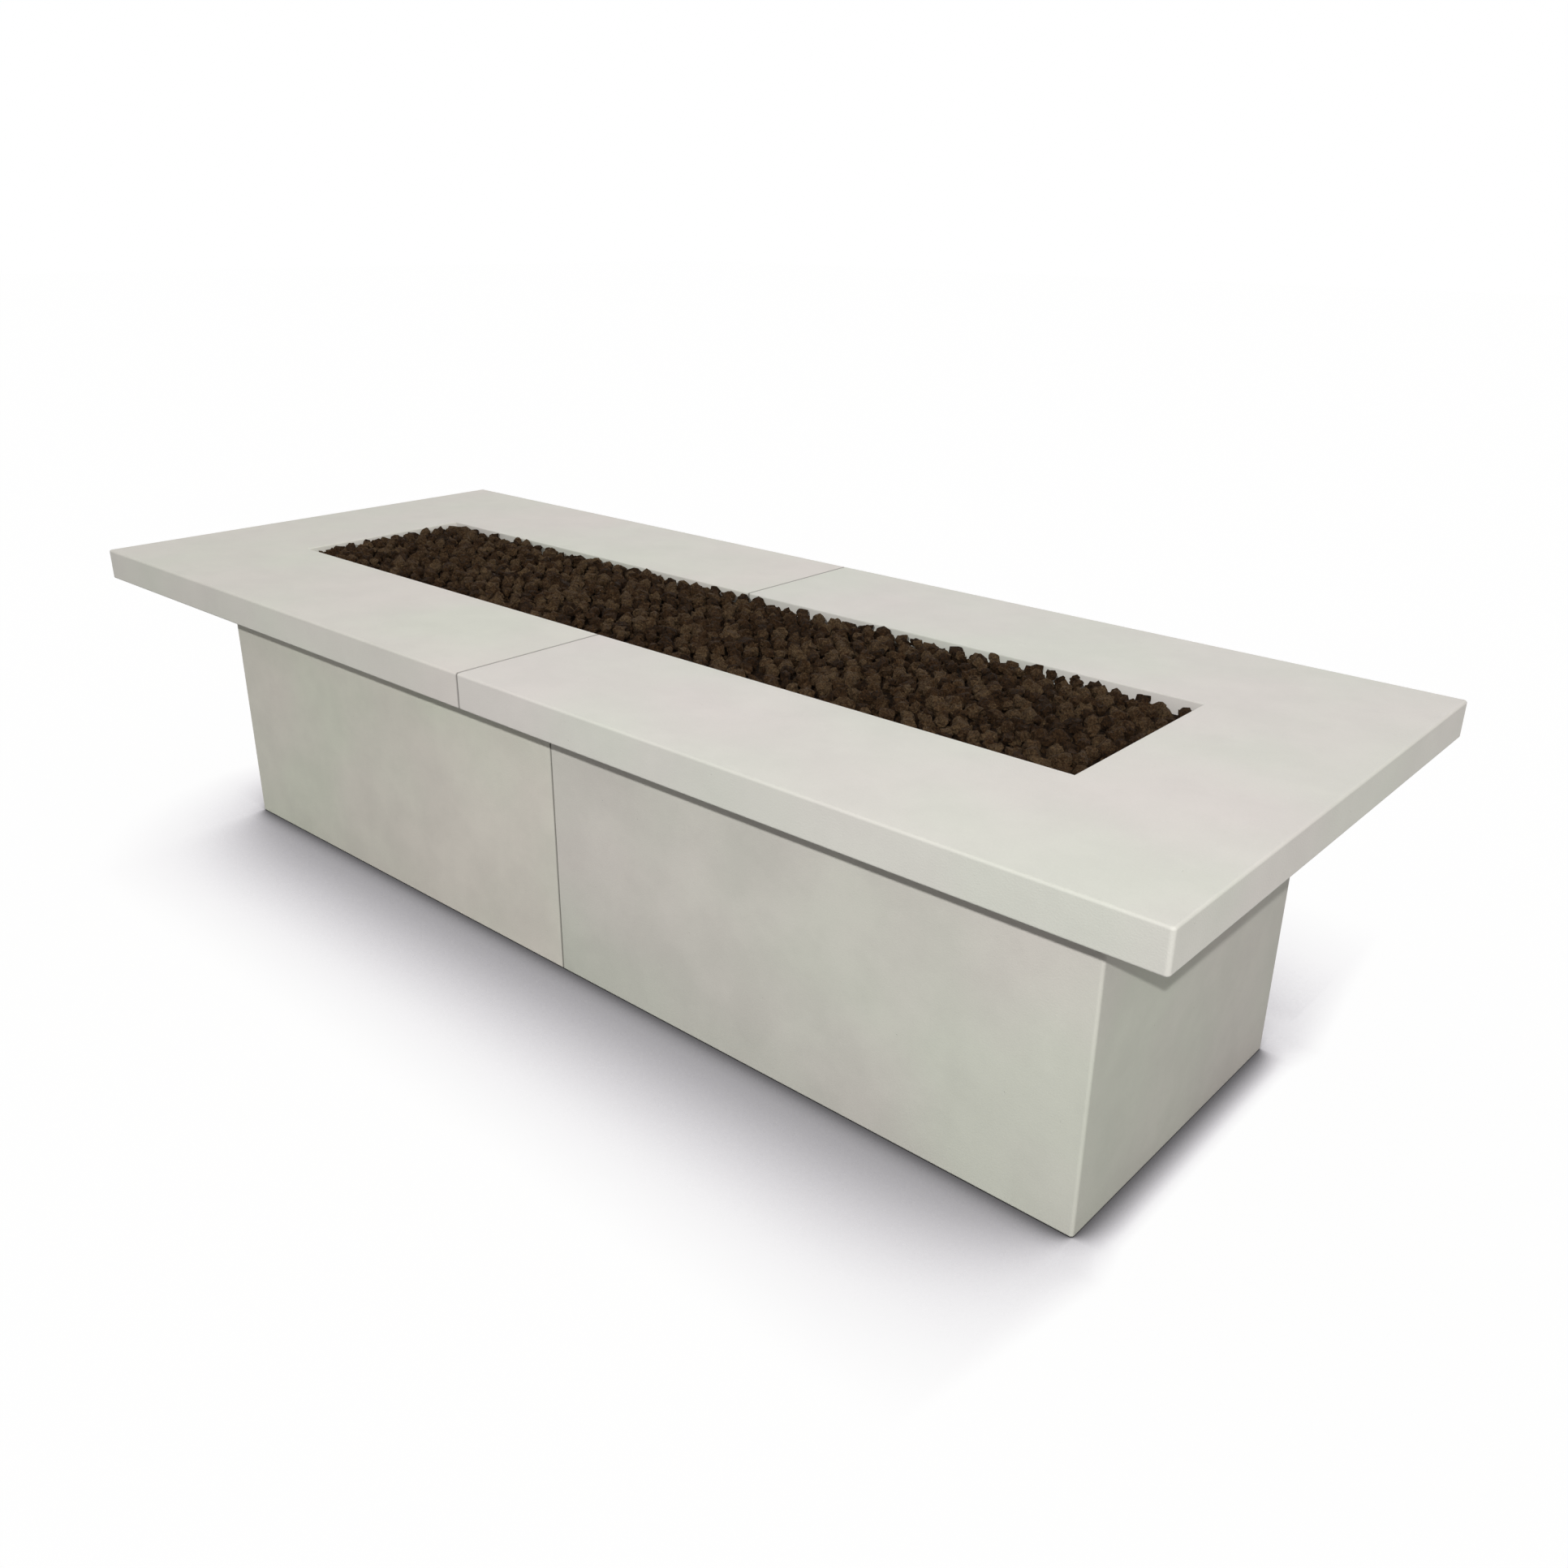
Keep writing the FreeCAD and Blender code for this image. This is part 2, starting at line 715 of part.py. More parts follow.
def nipple_locknuts():
    nuts = []
    for foot in (pan_floor, pan_bottom - locknut_height):
        nut = hex_prism(locknut_flats, (0, 0, foot), (0, 0, 1), locknut_height)
        hole = rod(nipple_radius + fitting_clearance, (0, 0, foot), (0, 0, 1), locknut_height)
        nuts.append(nut.cut(hole))
    return nuts


def burner_caps():
    caps = []
    for side in (-1, 1):
        open_end = side * (burner_half_length - cap_length)
        cap = rod(burner_radius + cap_wall, (open_end, 0, burner_z), (side, 0, 0), cap_length)
        outer = [edge for edge in cap.Edges if near(edge.CenterOfMass.x, side * burner_half_length)]
        cap = cap.makeFillet(cap_crown, outer)
        bore = rod(burner_radius + fitting_clearance, (open_end, 0, burner_z), (side, 0, 0),
                   cap_length - cap_wall)
        caps.append(cap.cut(bore))
    return caps


def burner_saddles():
    saddles = []
    for side in (-1, 1):
        for place in saddle_places:
            x = side * place
            top = burner_z - saddle_wrap
            plate = box(x, x + saddle_sheet, -saddle_width / 2, saddle_width / 2, pan_floor, top)
            foot = box(x, x + saddle_foot, -saddle_width / 2, saddle_width / 2, pan_floor,
                       pan_floor + saddle_sheet)
            cradle = rod(burner_radius + fitting_clearance, (x - spare, 0, burner_z), (1, 0, 0), saddle_foot)
            saddles.append(join([plate, foot]).cut(cradle))
    return saddles


# Gas line from the key valve to the burner

def elbow(corner, drop_sign, reach_sign):
    x, y, z = corner
    upright = rod(elbow_radius, (x, y, z), (0, 0, drop_sign), elbow_drop)
    level = rod(elbow_radius, (x, y, z), (reach_sign, 0, 0), elbow_reach)
    knee = Part.makeSphere(elbow_radius, V(x, y, z))
    body = join([upright, level, knee])
    bores = [rod(elbow_bore, (x, y, z), (0, 0, drop_sign), elbow_drop),
             rod(elbow_bore, (x, y, z), (reach_sign, 0, 0), elbow_reach),
             Part.makeSphere(elbow_bore, V(x, y, z))]
    return body.cut(join(bores))


def hose_route():
    start = V(valve_centre_x + elbow_reach, valve_y, outlet_z)
    end = V(-elbow_reach, 0, burner_inlet_z)
    level = pan_bottom - clip_drop
    run = end.x - start.x
    clips = [V(start.x + run * share, valve_y * side, level)
             for share, side in zip(clip_shares, clip_side_shares)]
    half = V(clip_straight / 2, 0, 0)
    sag = (clips[0] + clips[1]) * 0.5 - V(0, 0, hose_sag)
    return [start, start + V(hose_lead, 0, 0), clips[0] - half, clips[0] + half, sag,
            clips[1] - half, clips[1] + half, end - V(hose_lead, 0, 0), end]


def bent_path(points):
    edges = []
    last = points[0]
    for before, corner, after in zip(points, points[1:], points[2:]):
        back = (before - corner).normalize()
        ahead = (after - corner).normalize()
        half_turn = (math.pi - back.getAngle(ahead)) / 2
        shorter = min((before - corner).Length, (after - corner).Length)
        cut_back = hose_bend_share * shorter
        radius = cut_back / math.tan(half_turn)
        arc_start = corner + back * cut_back
        arc_end = corner + ahead * cut_back
        bisector = (back + ahead).normalize()
        middle = corner + bisector * (radius / math.cos(half_turn) - radius)
        edges.append(Part.LineSegment(last, arc_start).toShape())
        edges.append(Part.Arc(arc_start, middle, arc_end).toShape())
        last = arc_end
    edges.append(Part.LineSegment(last, points[-1]).toShape())
    return Part.Wire(edges)


def hose_along(path, radius):
    start = path.Edges[0].Vertexes[0].Point
    direction = path.Edges[0].tangentAt(path.Edges[0].FirstParameter)
    circle = Part.Wire(Part.makeCircle(radius, start, direction))
    return path.makePipeShell([circle], True, False)


def burner_hose():
    path = bent_path(hose_route())
    return hose_along(path, hose_radius).cut(hose_along(path, hose_bore))


def hose_nuts():
    nuts = []
    ends = [(hose_route()[0], 1), (hose_route()[-1], -1)]
    for place, sign in ends:
        start = (place.x, place.y, place.z)
        nut = hex_prism(hose_nut_flats, start, (sign, 0, 0), hose_nut_length)
        hole = rod(hose_radius + fitting_clearance, start, (sign, 0, 0), hose_nut_length)
        nuts.append(nut.cut(hole))
    return nuts


def hose_clips():
    clips = []
    route = hose_route()
    for before, after in ((route[2], route[3]), (route[5], route[6])):
        middle = (before + after) * 0.5
        x0 = middle.x - clip_width / 2
        x1 = middle.x + clip_width / 2
        outer = hose_radius + fitting_clearance + clip_sheet
        band = rod(outer, (x0, middle.y, middle.z), (1, 0, 0), clip_width)
        neck = box(x0, x1, middle.y + outer - clip_sheet, middle.y + outer, middle.z, pan_bottom)
        tab = box(x0, x1, middle.y + outer - clip_sheet, middle.y + outer + clip_tab,
                  pan_bottom - clip_sheet, pan_bottom)
        hole = rod(hose_radius + fitting_clearance, (x0, middle.y, middle.z), (1, 0, 0), clip_width)
        clips.append(join([band, neck, tab]).cut(hole))
    return clips


# Key valve, a plug cock that a loose key turns from outside

def key_valve_body():
    centre = (valve_centre_x, valve_y, valve_z)
    nose = rod(valve_nose_radius, (nose_end, valve_y, valve_z), (1, 0, 0), valve_body_start - nose_end)
    barrel = rod(valve_body_radius, (valve_body_start, valve_y, valve_z), (1, 0, 0), valve_body_length)
    ports = [rod(valve_port_radius, centre, (0, 0, sign), valve_body_half_height) for sign in (-1, 1)]
    body = join([nose, barrel] + ports)
    key_socket_depth = square_base - nose_end
    cuts = [rod(valve_nose_socket, (nose_end, valve_y, valve_z), (1, 0, 0), key_socket_depth),
            rod(plug_stem_radius + running_gap, (nose_end, valve_y, valve_z), (1, 0, 0),
                plug_front - nose_end),
            rod(plug_radius + running_gap, (plug_front - plug_end_gap, valve_y, valve_z), (1, 0, 0),
                valve_body_start + valve_body_length - plug_front + spare),
            rod(valve_passage, (valve_centre_x, valve_y, valve_z - valve_body_half_height), (0, 0, 1),
                2 * valve_body_half_height),
            rod(riser_radius + fitting_clearance, (valve_centre_x, valve_y, valve_z - valve_body_half_height),
                (0, 0, 1), riser_socket)]
    return body.cut(cuts)


def key_valve_plug():
    plug = rod(plug_radius, (plug_front, valve_y, valve_z), (1, 0, 0), plug_length)
    stem = rod(plug_stem_radius, (square_base, valve_y, valve_z), (1, 0, 0), plug_front - square_base)
    half = plug_square / 2
    square = box(square_base - plug_square_length, square_base, valve_y - half, valve_y + half,
                 valve_z - half, valve_z + half)
    across = rod(valve_passage, (valve_centre_x, valve_y - plug_radius - spare, valve_z), (0, 1, 0),
                 2 * plug_radius + 2 * spare)
    return join([plug, stem, square]).cut(across)


def key_valve_cap():
    start = plug_rear + plug_end_gap
    end = valve_body_start + valve_body_length
    core = rod(plug_radius, (start, valve_y, valve_z), (1, 0, 0), end - start)
    head = hex_prism(valve_cap_flats, (end, valve_y, valve_z), (1, 0, 0), valve_cap_head)
    return join([core, head])


def key_valve_nut():
    start = (-wall_inner_x, valve_y, valve_z)
    nut = hex_prism(valve_nut_flats, start, (1, 0, 0), valve_nut_height)
    return nut.cut(rod(valve_nose_radius + fitting_clearance, start, (1, 0, 0), valve_nut_height))


def valve_escutcheon():
    plate = rod(escutcheon_radius, (valve_face, valve_y, valve_z), (-1, 0, 0), escutcheon_thickness)
    rim = [edge for edge in plate.Edges if near(edge.CenterOfMass.x, nose_end) and len(edge.Vertexes) == 1]
    plate = plate.makeFillet(escutcheon_thickness - escutcheon_lip, rim)
    hole = rod(valve_nose_radius + fitting_clearance, (valve_face + spare, valve_y, valve_z), (-1, 0, 0),
               escutcheon_thickness + 2 * spare)
    return plate.cut(hole)


def valve_key():
    inner_end = square_base - key_end_gap
    outer_end = valve_face - key_stand_out
    shaft = rod(key_radius, (outer_end, valve_y, valve_z), (1, 0, 0), inner_end - outer_end)
    bow = rod(key_bow_radius, (outer_end, valve_y - key_bow_length / 2, valve_z), (0, 1, 0), key_bow_length)
    tips = [Part.makeSphere(key_bow_radius, V(outer_end, valve_y + sy * key_bow_length / 2, valve_z))
            for sy in (-1, 1)]
    end = Part.makeSphere(key_radius, V(outer_end, valve_y, valve_z))
    half = plug_square / 2 + key_socket_gap
    socket = box(square_base - plug_square_length - key_tip_gap, inner_end + spare, valve_y - half,
                 valve_y + half, valve_z - half, valve_z + half)
    return join([shaft, bow, end] + tips).cut(socket)


# Riser and shut-off ball valve

def supply_riser():
    foot = shutoff_top - riser_socket
    return ring(riser_radius, riser_bore, (valve_centre_x, valve_y, foot), (0, 0, 1), riser_length)


def riser_bracket():
    middle_z = (shutoff_top + valve_z - valve_body_half_height) / 2
    low = middle_z - riser_bracket_height / 2
    high = middle_z + riser_bracket_height / 2
    outer = riser_radius + fitting_clearance + riser_bracket_sheet
    band = rod(outer, (valve_centre_x, valve_y, low), (0, 0, 1), riser_bracket_height)
    arm = box(-wall_inner_x, valve_centre_x, valve_y - riser_bracket_sheet / 2,
              valve_y + riser_bracket_sheet / 2, low, high)
    foot = box(-wall_inner_x, -wall_inner_x + riser_bracket_sheet, valve_y - riser_bracket_foot / 2,
               valve_y + riser_bracket_foot / 2, low, high)
    hole = rod(riser_radius + fitting_clearance, (valve_centre_x, valve_y, low), (0, 0, 1),
               riser_bracket_height)
    screw_holes = [trim_hole((-wall_inner_x, y, z), (1, 0, 0)) for y, z in bracket_screw_spots()]
    return join([band, arm, foot]).cut([hole] + screw_holes)


def bracket_screw_spots():
    middle_z = (shutoff_top + valve_z - valve_body_half_height) / 2
    offset = riser_bracket_foot / 2 - bracket_screw_inset
    return [(valve_y + sy * offset, middle_z) for sy in (-1, 1)]


def shutoff_body():
    x, y = valve_centre_x, valve_y
    hexes = [hex_prism(shutoff_flats, (x, y, z), (0, 0, 1), shutoff_hex_length)
             for z in (shutoff_bottom, shutoff_top - shutoff_hex_length)]
    barrel = rod(shutoff_barrel_radius, (x, y, shutoff_bottom + shutoff_hex_length), (0, 0, 1),
                 shutoff_length - 2 * shutoff_hex_length)
    neck = rod(shutoff_neck_radius, (x, y, shutoff_z), (0, 1, 0), shutoff_neck_reach)
    body = join(hexes + [barrel, neck])
    cuts = [rod(ball_bore, (x, y, shutoff_bottom), (0, 0, 1), shutoff_length),
            rod(inlet_radius, (x, y, shutoff_bottom), (0, 0, 1), inlet_depth),
            rod(riser_radius + fitting_clearance, (x, y, shutoff_top - riser_socket), (0, 0, 1),
                riser_socket),
            Part.makeSphere(ball_radius + running_gap, V(x, y, shutoff_z)),
            rod(ball_stem_radius + running_gap, (x, y, shutoff_z), (0, 1, 0), shutoff_neck_reach)]
    for cutter in cuts:
        body = body.cut(cutter)
    return body


def shutoff_ball():
    x, y = valve_centre_x, valve_y
    stem_length = shutoff_neck_reach + lever_thickness + lever_nut_height + stem_stand_out
    ball = Part.makeSphere(ball_radius, V(x, y, shutoff_z))
    stem = rod(ball_stem_radius, (x, y, shutoff_z), (0, 1, 0), stem_length)
    bore = rod(ball_bore, (x - ball_radius - spare, y, shutoff_z), (1, 0, 0), 2 * ball_radius + 2 * spare)
    return join([ball.cut(bore), stem.cut(bore)])


def shutoff_lever():
    y0 = valve_y + shutoff_neck_reach
    hub = rod(lever_width / 2, (valve_centre_x, y0, shutoff_z), (0, 1, 0), lever_thickness)
    tip = rod(lever_width / 2, (valve_centre_x + lever_length, y0, shutoff_z), (0, 1, 0), lever_thickness)
    arm = box(valve_centre_x, valve_centre_x + lever_length, y0, y0 + lever_thickness,
              shutoff_z - lever_width / 2, shutoff_z + lever_width / 2)
    hole = rod(ball_stem_radius + fitting_clearance, (valve_centre_x, y0 - spare, shutoff_z), (0, 1, 0),
               lever_thickness + 2 * spare)
    return join([hub, tip, arm]).cut(hole)


def lever_grip():
    y0 = valve_y + shutoff_neck_reach
    half = lever_width / 2
    x0 = valve_centre_x + lever_length - lever_grip_length
    x1 = valve_centre_x + lever_length
    outer = [box(x0, x1, y0 - lever_grip_wall, y0 + lever_thickness + lever_grip_wall,
                 shutoff_z - half - lever_grip_wall, shutoff_z + half + lever_grip_wall),
             rod(half + lever_grip_wall, (x1, y0 - lever_grip_wall, shutoff_z), (0, 1, 0),
                 lever_thickness + 2 * lever_grip_wall)]
    core = [box(x0 - spare, x1, y0, y0 + lever_thickness, shutoff_z - half, shutoff_z + half),
            rod(half, (x1, y0, shutoff_z), (0, 1, 0), lever_thickness)]
    return join(outer).cut(join(core))


def lever_nut():
    start = (valve_centre_x, valve_y + shutoff_neck_reach + lever_thickness, shutoff_z)
    nut = hex_prism(lever_nut_flats, start, (0, 1, 0), lever_nut_height)
    return nut.cut(rod(ball_stem_radius + fitting_clearance, start, (0, 1, 0), lever_nut_height))


# Access door with its frame, hinges and quarter-turn latch

def door_frame():
    sleeve_x0 = door_x0 + frame_fit_gap
    sleeve_x1 = door_x1 - frame_fit_gap
    sleeve_z0 = door_z0 + frame_fit_gap
    sleeve_z1 = door_z1 - frame_fit_gap
    s = frame_sheet
    flange = box(door_x0 - frame_flange, door_x1 + frame_flange, wall_face, frame_face,
                 door_z0 - frame_flange, door_z1 + frame_flange)
    sleeve = box(sleeve_x0, sleeve_x1, frame_lip_back, frame_face, sleeve_z0, sleeve_z1)
    mouth = box(sleeve_x0 + s, sleeve_x1 - s, frame_lip_back + s, frame_face + spare,
                sleeve_z0 + s, sleeve_z1 - s)
    inset = s + frame_lip
    throat = box(sleeve_x0 + inset, sleeve_x1 - inset, frame_lip_back - spare, frame_face + spare,
                 sleeve_z0 + inset, sleeve_z1 - inset)
    holes = [trim_hole((x, frame_face, z), (0, -1, 0)) for x, z in frame_screw_spots()]
    return join([flange, sleeve]).cut([mouth, throat] + holes)


def access_door():
    x0 = door_x0 - door_overlap
    x1 = door_x1 + door_overlap
    z0 = door_z0 - door_overlap
    z1 = door_z1 + door_overlap
    s = door_sheet
    panel = box(x0, x1, door_back, door_front, z0, z1)
    rim = edges_where(panel, lambda a, b: near(a.y, door_front) and near(b.y, door_front))
    panel = panel.makeFillet(door_rim_radius, rim)
    hollow = box(x0 + s, x1 - s, door_back - spare, door_front - s, z0 + s, z1 - s)
    hole = rod(latch_housing_radius + fitting_clearance, (latch_x, door_back, latch_z), (0, 1, 0),
               door_depth + spare)
    return panel.cut([hollow, hole])


def hinge_spots():
    return [door_z0 - door_overlap + hinge_edge, door_z1 + door_overlap - hinge_edge]


def knuckle_starts(middle):
    step = hinge_knuckle + hinge_knuckle_gap
    low = middle - hinge_knuckle / 2
    return [low - step, low, low + step]


def hinge_bore(middle):
    total = 3 * hinge_knuckle + 2 * hinge_knuckle_gap
    foot = (hinge_x, hinge_y, middle - total / 2 - spare)
    return rod(hinge_pin_radius + running_gap, foot, (0, 0, 1), total + 2 * spare)


def hinge_fixed_leaves():
    leaves = []
    for middle in hinge_spots():
        low, centre, high = knuckle_starts(middle)
        leaf = box(hinge_x - hinge_leaf_width, hinge_x + hinge_pin_radius, frame_face,
                   frame_face + hinge_leaf_sheet, low, high + hinge_knuckle)
        pieces = [leaf]
        for start in (low, high):
            pieces.append(rod(hinge_barrel_radius, (hinge_x, hinge_y, start), (0, 0, 1), hinge_knuckle))
            pieces.append(box(hinge_x - hinge_pin_radius, hinge_x + hinge_pin_radius, frame_face, hinge_y,
                              start, start + hinge_knuckle))
        leaves.append(join(pieces).cut(hinge_bore(middle)))
    return leaves


def hinge_moving_leaves():
    leaves = []
    door_edge = door_x0 - door_overlap
    for middle in hinge_spots():
        low, centre, high = knuckle_starts(middle)
        leaf = box(door_edge - hinge_leaf_sheet, door_edge, door_back + hinge_leaf_inset,
                   door_front - hinge_leaf_inset, low, high + hinge_knuckle)
        knuckle = rod(hinge_barrel_radius, (hinge_x, hinge_y, centre), (0, 0, 1), hinge_knuckle)
        web = box(hinge_x, door_edge, hinge_y - hinge_leaf_sheet, hinge_y + hinge_leaf_sheet,
                  centre, centre + hinge_knuckle)
        leaves.append(join([leaf, knuckle, web]).cut(hinge_bore(middle)))
    return leaves


def hinge_pins():
    pins = []
    for middle in hinge_spots():
        low, centre, high = knuckle_starts(middle)
        top = high + hinge_knuckle
        pin = rod(hinge_pin_radius, (hinge_x, hinge_y, low), (0, 0, 1), top - low)
        head = rod(pin_head_radius, (hinge_x, hinge_y, top), (0, 0, 1), pin_head)
        pins.append(join([pin, head]))
    return pins


def latch_housing():
    depth = door_sheet + latch_nut_height + stem_stand_out
    flange = rod(latch_flange_radius, (latch_x, door_front, latch_z), (0, 1, 0), latch_flange)
    barrel = rod(latch_housing_radius, (latch_x, door_front - depth, latch_z), (0, 1, 0), depth)
    bore = rod(latch_spindle_radius + running_gap, (latch_x, door_front - depth - spare, latch_z), (0, 1, 0),
               depth + latch_flange + 2 * spare)
    return join([flange, barrel]).cut(bore)


def latch_nut():
    start = (latch_x, door_front - door_sheet - latch_nut_height, latch_z)
    nut = hex_prism(latch_nut_flats, start, (0, 1, 0), latch_nut_height)
    return nut.cut(rod(latch_housing_radius + fitting_clearance, start, (0, 1, 0), latch_nut_height))


def cam_front():
    return frame_lip_back - cam_gap


def latch_spindle():
    front = door_front + latch_flange
    shaft = rod(latch_spindle_radius, (latch_x, cam_front(), latch_z), (0, 1, 0), front - cam_front())
    half = latch_square / 2
    square = box(latch_x - half, latch_x + half, cam_front() - cam_thickness, cam_front(),
                 latch_z - half, latch_z + half)
    thread = rod(half, (latch_x, cam_front() - cam_thickness - cam_nut_height - stem_stand_out, latch_z),
                 (0, 1, 0), cam_nut_height + stem_stand_out)
    disc = rod(latch_knob_radius, (latch_x, front, latch_z), (0, 1, 0), latch_knob_depth)
    wing = box(latch_x - latch_wing_width / 2, latch_x + latch_wing_width / 2, front,
               front + latch_wing_height, latch_z - latch_wing_length / 2, latch_z + latch_wing_length / 2)
    ends = edges_where(wing, lambda a, b: near(a.z, b.z) and min(a.y, b.y) >= front
                       and max(a.y, b.y) > front + spare)
    wing = wing.makeFillet(latch_wing_radius, ends)
    return join([shaft, square, thread, disc, wing])


def latch_cam():
    y0 = cam_front() - cam_thickness
    hub = rod(cam_width / 2, (latch_x, y0, latch_z), (0, 1, 0), cam_thickness)
    arm = box(latch_x - cam_width / 2, latch_x + cam_width / 2, y0, y0 + cam_thickness, latch_z,
              latch_z + cam_reach)
    half = latch_square / 2 + fitting_clearance
    hole = box(latch_x - half, latch_x + half, y0 - spare, y0 + cam_thickness + spare,
               latch_z - half, latch_z + half)
    return join([hub, arm]).cut(hole)


def cam_nut():
    start = (latch_x, cam_front() - cam_thickness - cam_nut_height, latch_z)
    nut = hex_prism(cam_nut_flats, start, (0, 1, 0), cam_nut_height)
    return nut.cut(rod(latch_square / 2 + fitting_clearance, start, (0, 1, 0), cam_nut_height))


# Louvred vents, one on the back of the right half and one on the left end

def vent_grille():
    half_width = vent_width / 2 + vent_border
    half_height = vent_height / 2 + vent_border
    plate = box(-half_width, half_width, 0, vent_sheet, -half_height, half_height)
    slot_half = vent_width / 2 - vent_border / 2
    pitch = vent_height / vent_slots
    slots = []
    louvres = []
    for i in range(vent_slots):
        low = -vent_height / 2 + pitch * (i + 0.5) - vent_slot_height / 2
        high = low + vent_slot_height
        slots.append(box(-slot_half, slot_half, -spare, vent_sheet + spare, low, high))
        outline = [(vent_sheet, high), (vent_sheet, high + vent_sheet),
                   (vent_sheet + vent_louvre_reach, low + vent_sheet), (vent_sheet + vent_louvre_reach, low)]
        louvres.append(prism_along_x(outline, -slot_half, slot_half))
    holes = [trim_hole((dx, 0, dz), (0, 1, 0)) for dx, dz in vent_screw_spots()]
    return join([plate.cut(slots)] + louvres).cut(holes)


def on_back(shape):
    shape = shape.copy()
    shape.translate(V(bay_centre, wall_face, vent_centre_height))
    return shape


def on_left_end(shape):
    shape = shape.copy()
    shape.rotate(V(0, 0, 0), V(0, 0, 1), 90)
    shape.translate(V(-base_length / 2, end_vent_centre, vent_centre_height))
    return shape


def vent_screws():
    screws = [trim_screw((dx, vent_sheet, dz), (0, -1, 0)) for dx, dz in vent_screw_spots()]
    return [on_back(screw) for screw in screws] + [on_left_end(screw) for screw in screws]


# Lava rock, heaped over the burner: every second point of a shaken grid is the top of a rock,
# the points between are the gaps round it

def rock_level(x, y):
    end = max(0.0, 1 - (opening_length / 2 - abs(x)) / rock_end_run)
    end_level = rock_left_level if x < 0 else rock_right_level
    side = rock_side_level + (end_level - rock_side_level) * end ** 2
    across = 1 - (2 * y / opening_width) ** 2
    return table_height + side + (rock_crown_level - side) * across * (1 - end ** 2)


def rock_grid():
    dice = random.Random(rock_seed)
    half_length = opening_length / 2 - rock_wall_gap
    half_width = opening_width / 2 - rock_wall_gap
    columns = round(2 * half_length / rock_pitch)
    rows = round(2 * half_width / rock_pitch)
    grid = []
    for i in range(columns + 1):
        line = []
        for j in range(rows + 1):
            x = -half_length + 2 * half_length * i / columns
            y = -half_width + 2 * half_width * j / rows
            inside = 0 < i < columns and 0 < j < rows
            if inside:
                x += dice.uniform(-rock_shift, rock_shift) * rock_pitch
                y += dice.uniform(-rock_shift, rock_shift) * rock_pitch
            depth = rock_wall_relief
            if inside:
                depth = 0.0 if (i + j) % 2 == 0 else rock_relief
            line.append(V(x, y, rock_level(x, y) - depth + dice.uniform(-rock_rough, rock_rough)))
        grid.append(line)
    return grid


def face_of(points):
    return Part.Face(Part.makePolygon(points + points[:1]))


def lava_rock_bed():
    grid = rock_grid()
    base = ledge_top + pan_sheet
    faces = []
    for i in range(len(grid) - 1):
        for j in range(len(grid[0]) - 1):
            a, b, c, d = grid[i][j], grid[i + 1][j], grid[i + 1][j + 1], grid[i][j + 1]
            if (i + j) % 2:
                faces += [face_of([a, b, c]), face_of([a, c, d])]
            else:
                faces += [face_of([a, b, d]), face_of([b, c, d])]
    sides = [grid[0], grid[-1], [line[0] for line in grid], [line[-1] for line in grid]]
    for side in sides:
        first, last = side[0], side[-1]
        faces.append(face_of(side + [V(last.x, last.y, base), V(first.x, first.y, base)]))
    corners = [grid[0][0], grid[-1][0], grid[-1][-1], grid[0][-1]]
    faces.append(face_of([V(corner.x, corner.y, base) for corner in corners]))
    skin = Part.makeCompound(faces)
    skin.sewShape()
    heap = Part.Solid(skin.Shells[0])
    if heap.Volume < 0:
        heap.reverse()
    inner_x = pan_half_length - pan_sheet - rock_wall_gap
    inner_y = pan_half_width - pan_sheet - rock_wall_gap
    fill = box(-inner_x, inner_x, -inner_y, inner_y, pan_floor, base + spare)
    tunnel_x = burner_half_length + rock_tunnel_gap
    tunnel_y = saddle_width / 2 + rock_tunnel_gap
    tunnel_top = burner_z + tee_radius + rock_tunnel_gap
    tunnel = box(-tunnel_x, tunnel_x, -tunnel_y, tunnel_y, pan_floor - spare, tunnel_top)
    return heap.fuse(fill).cut(tunnel)


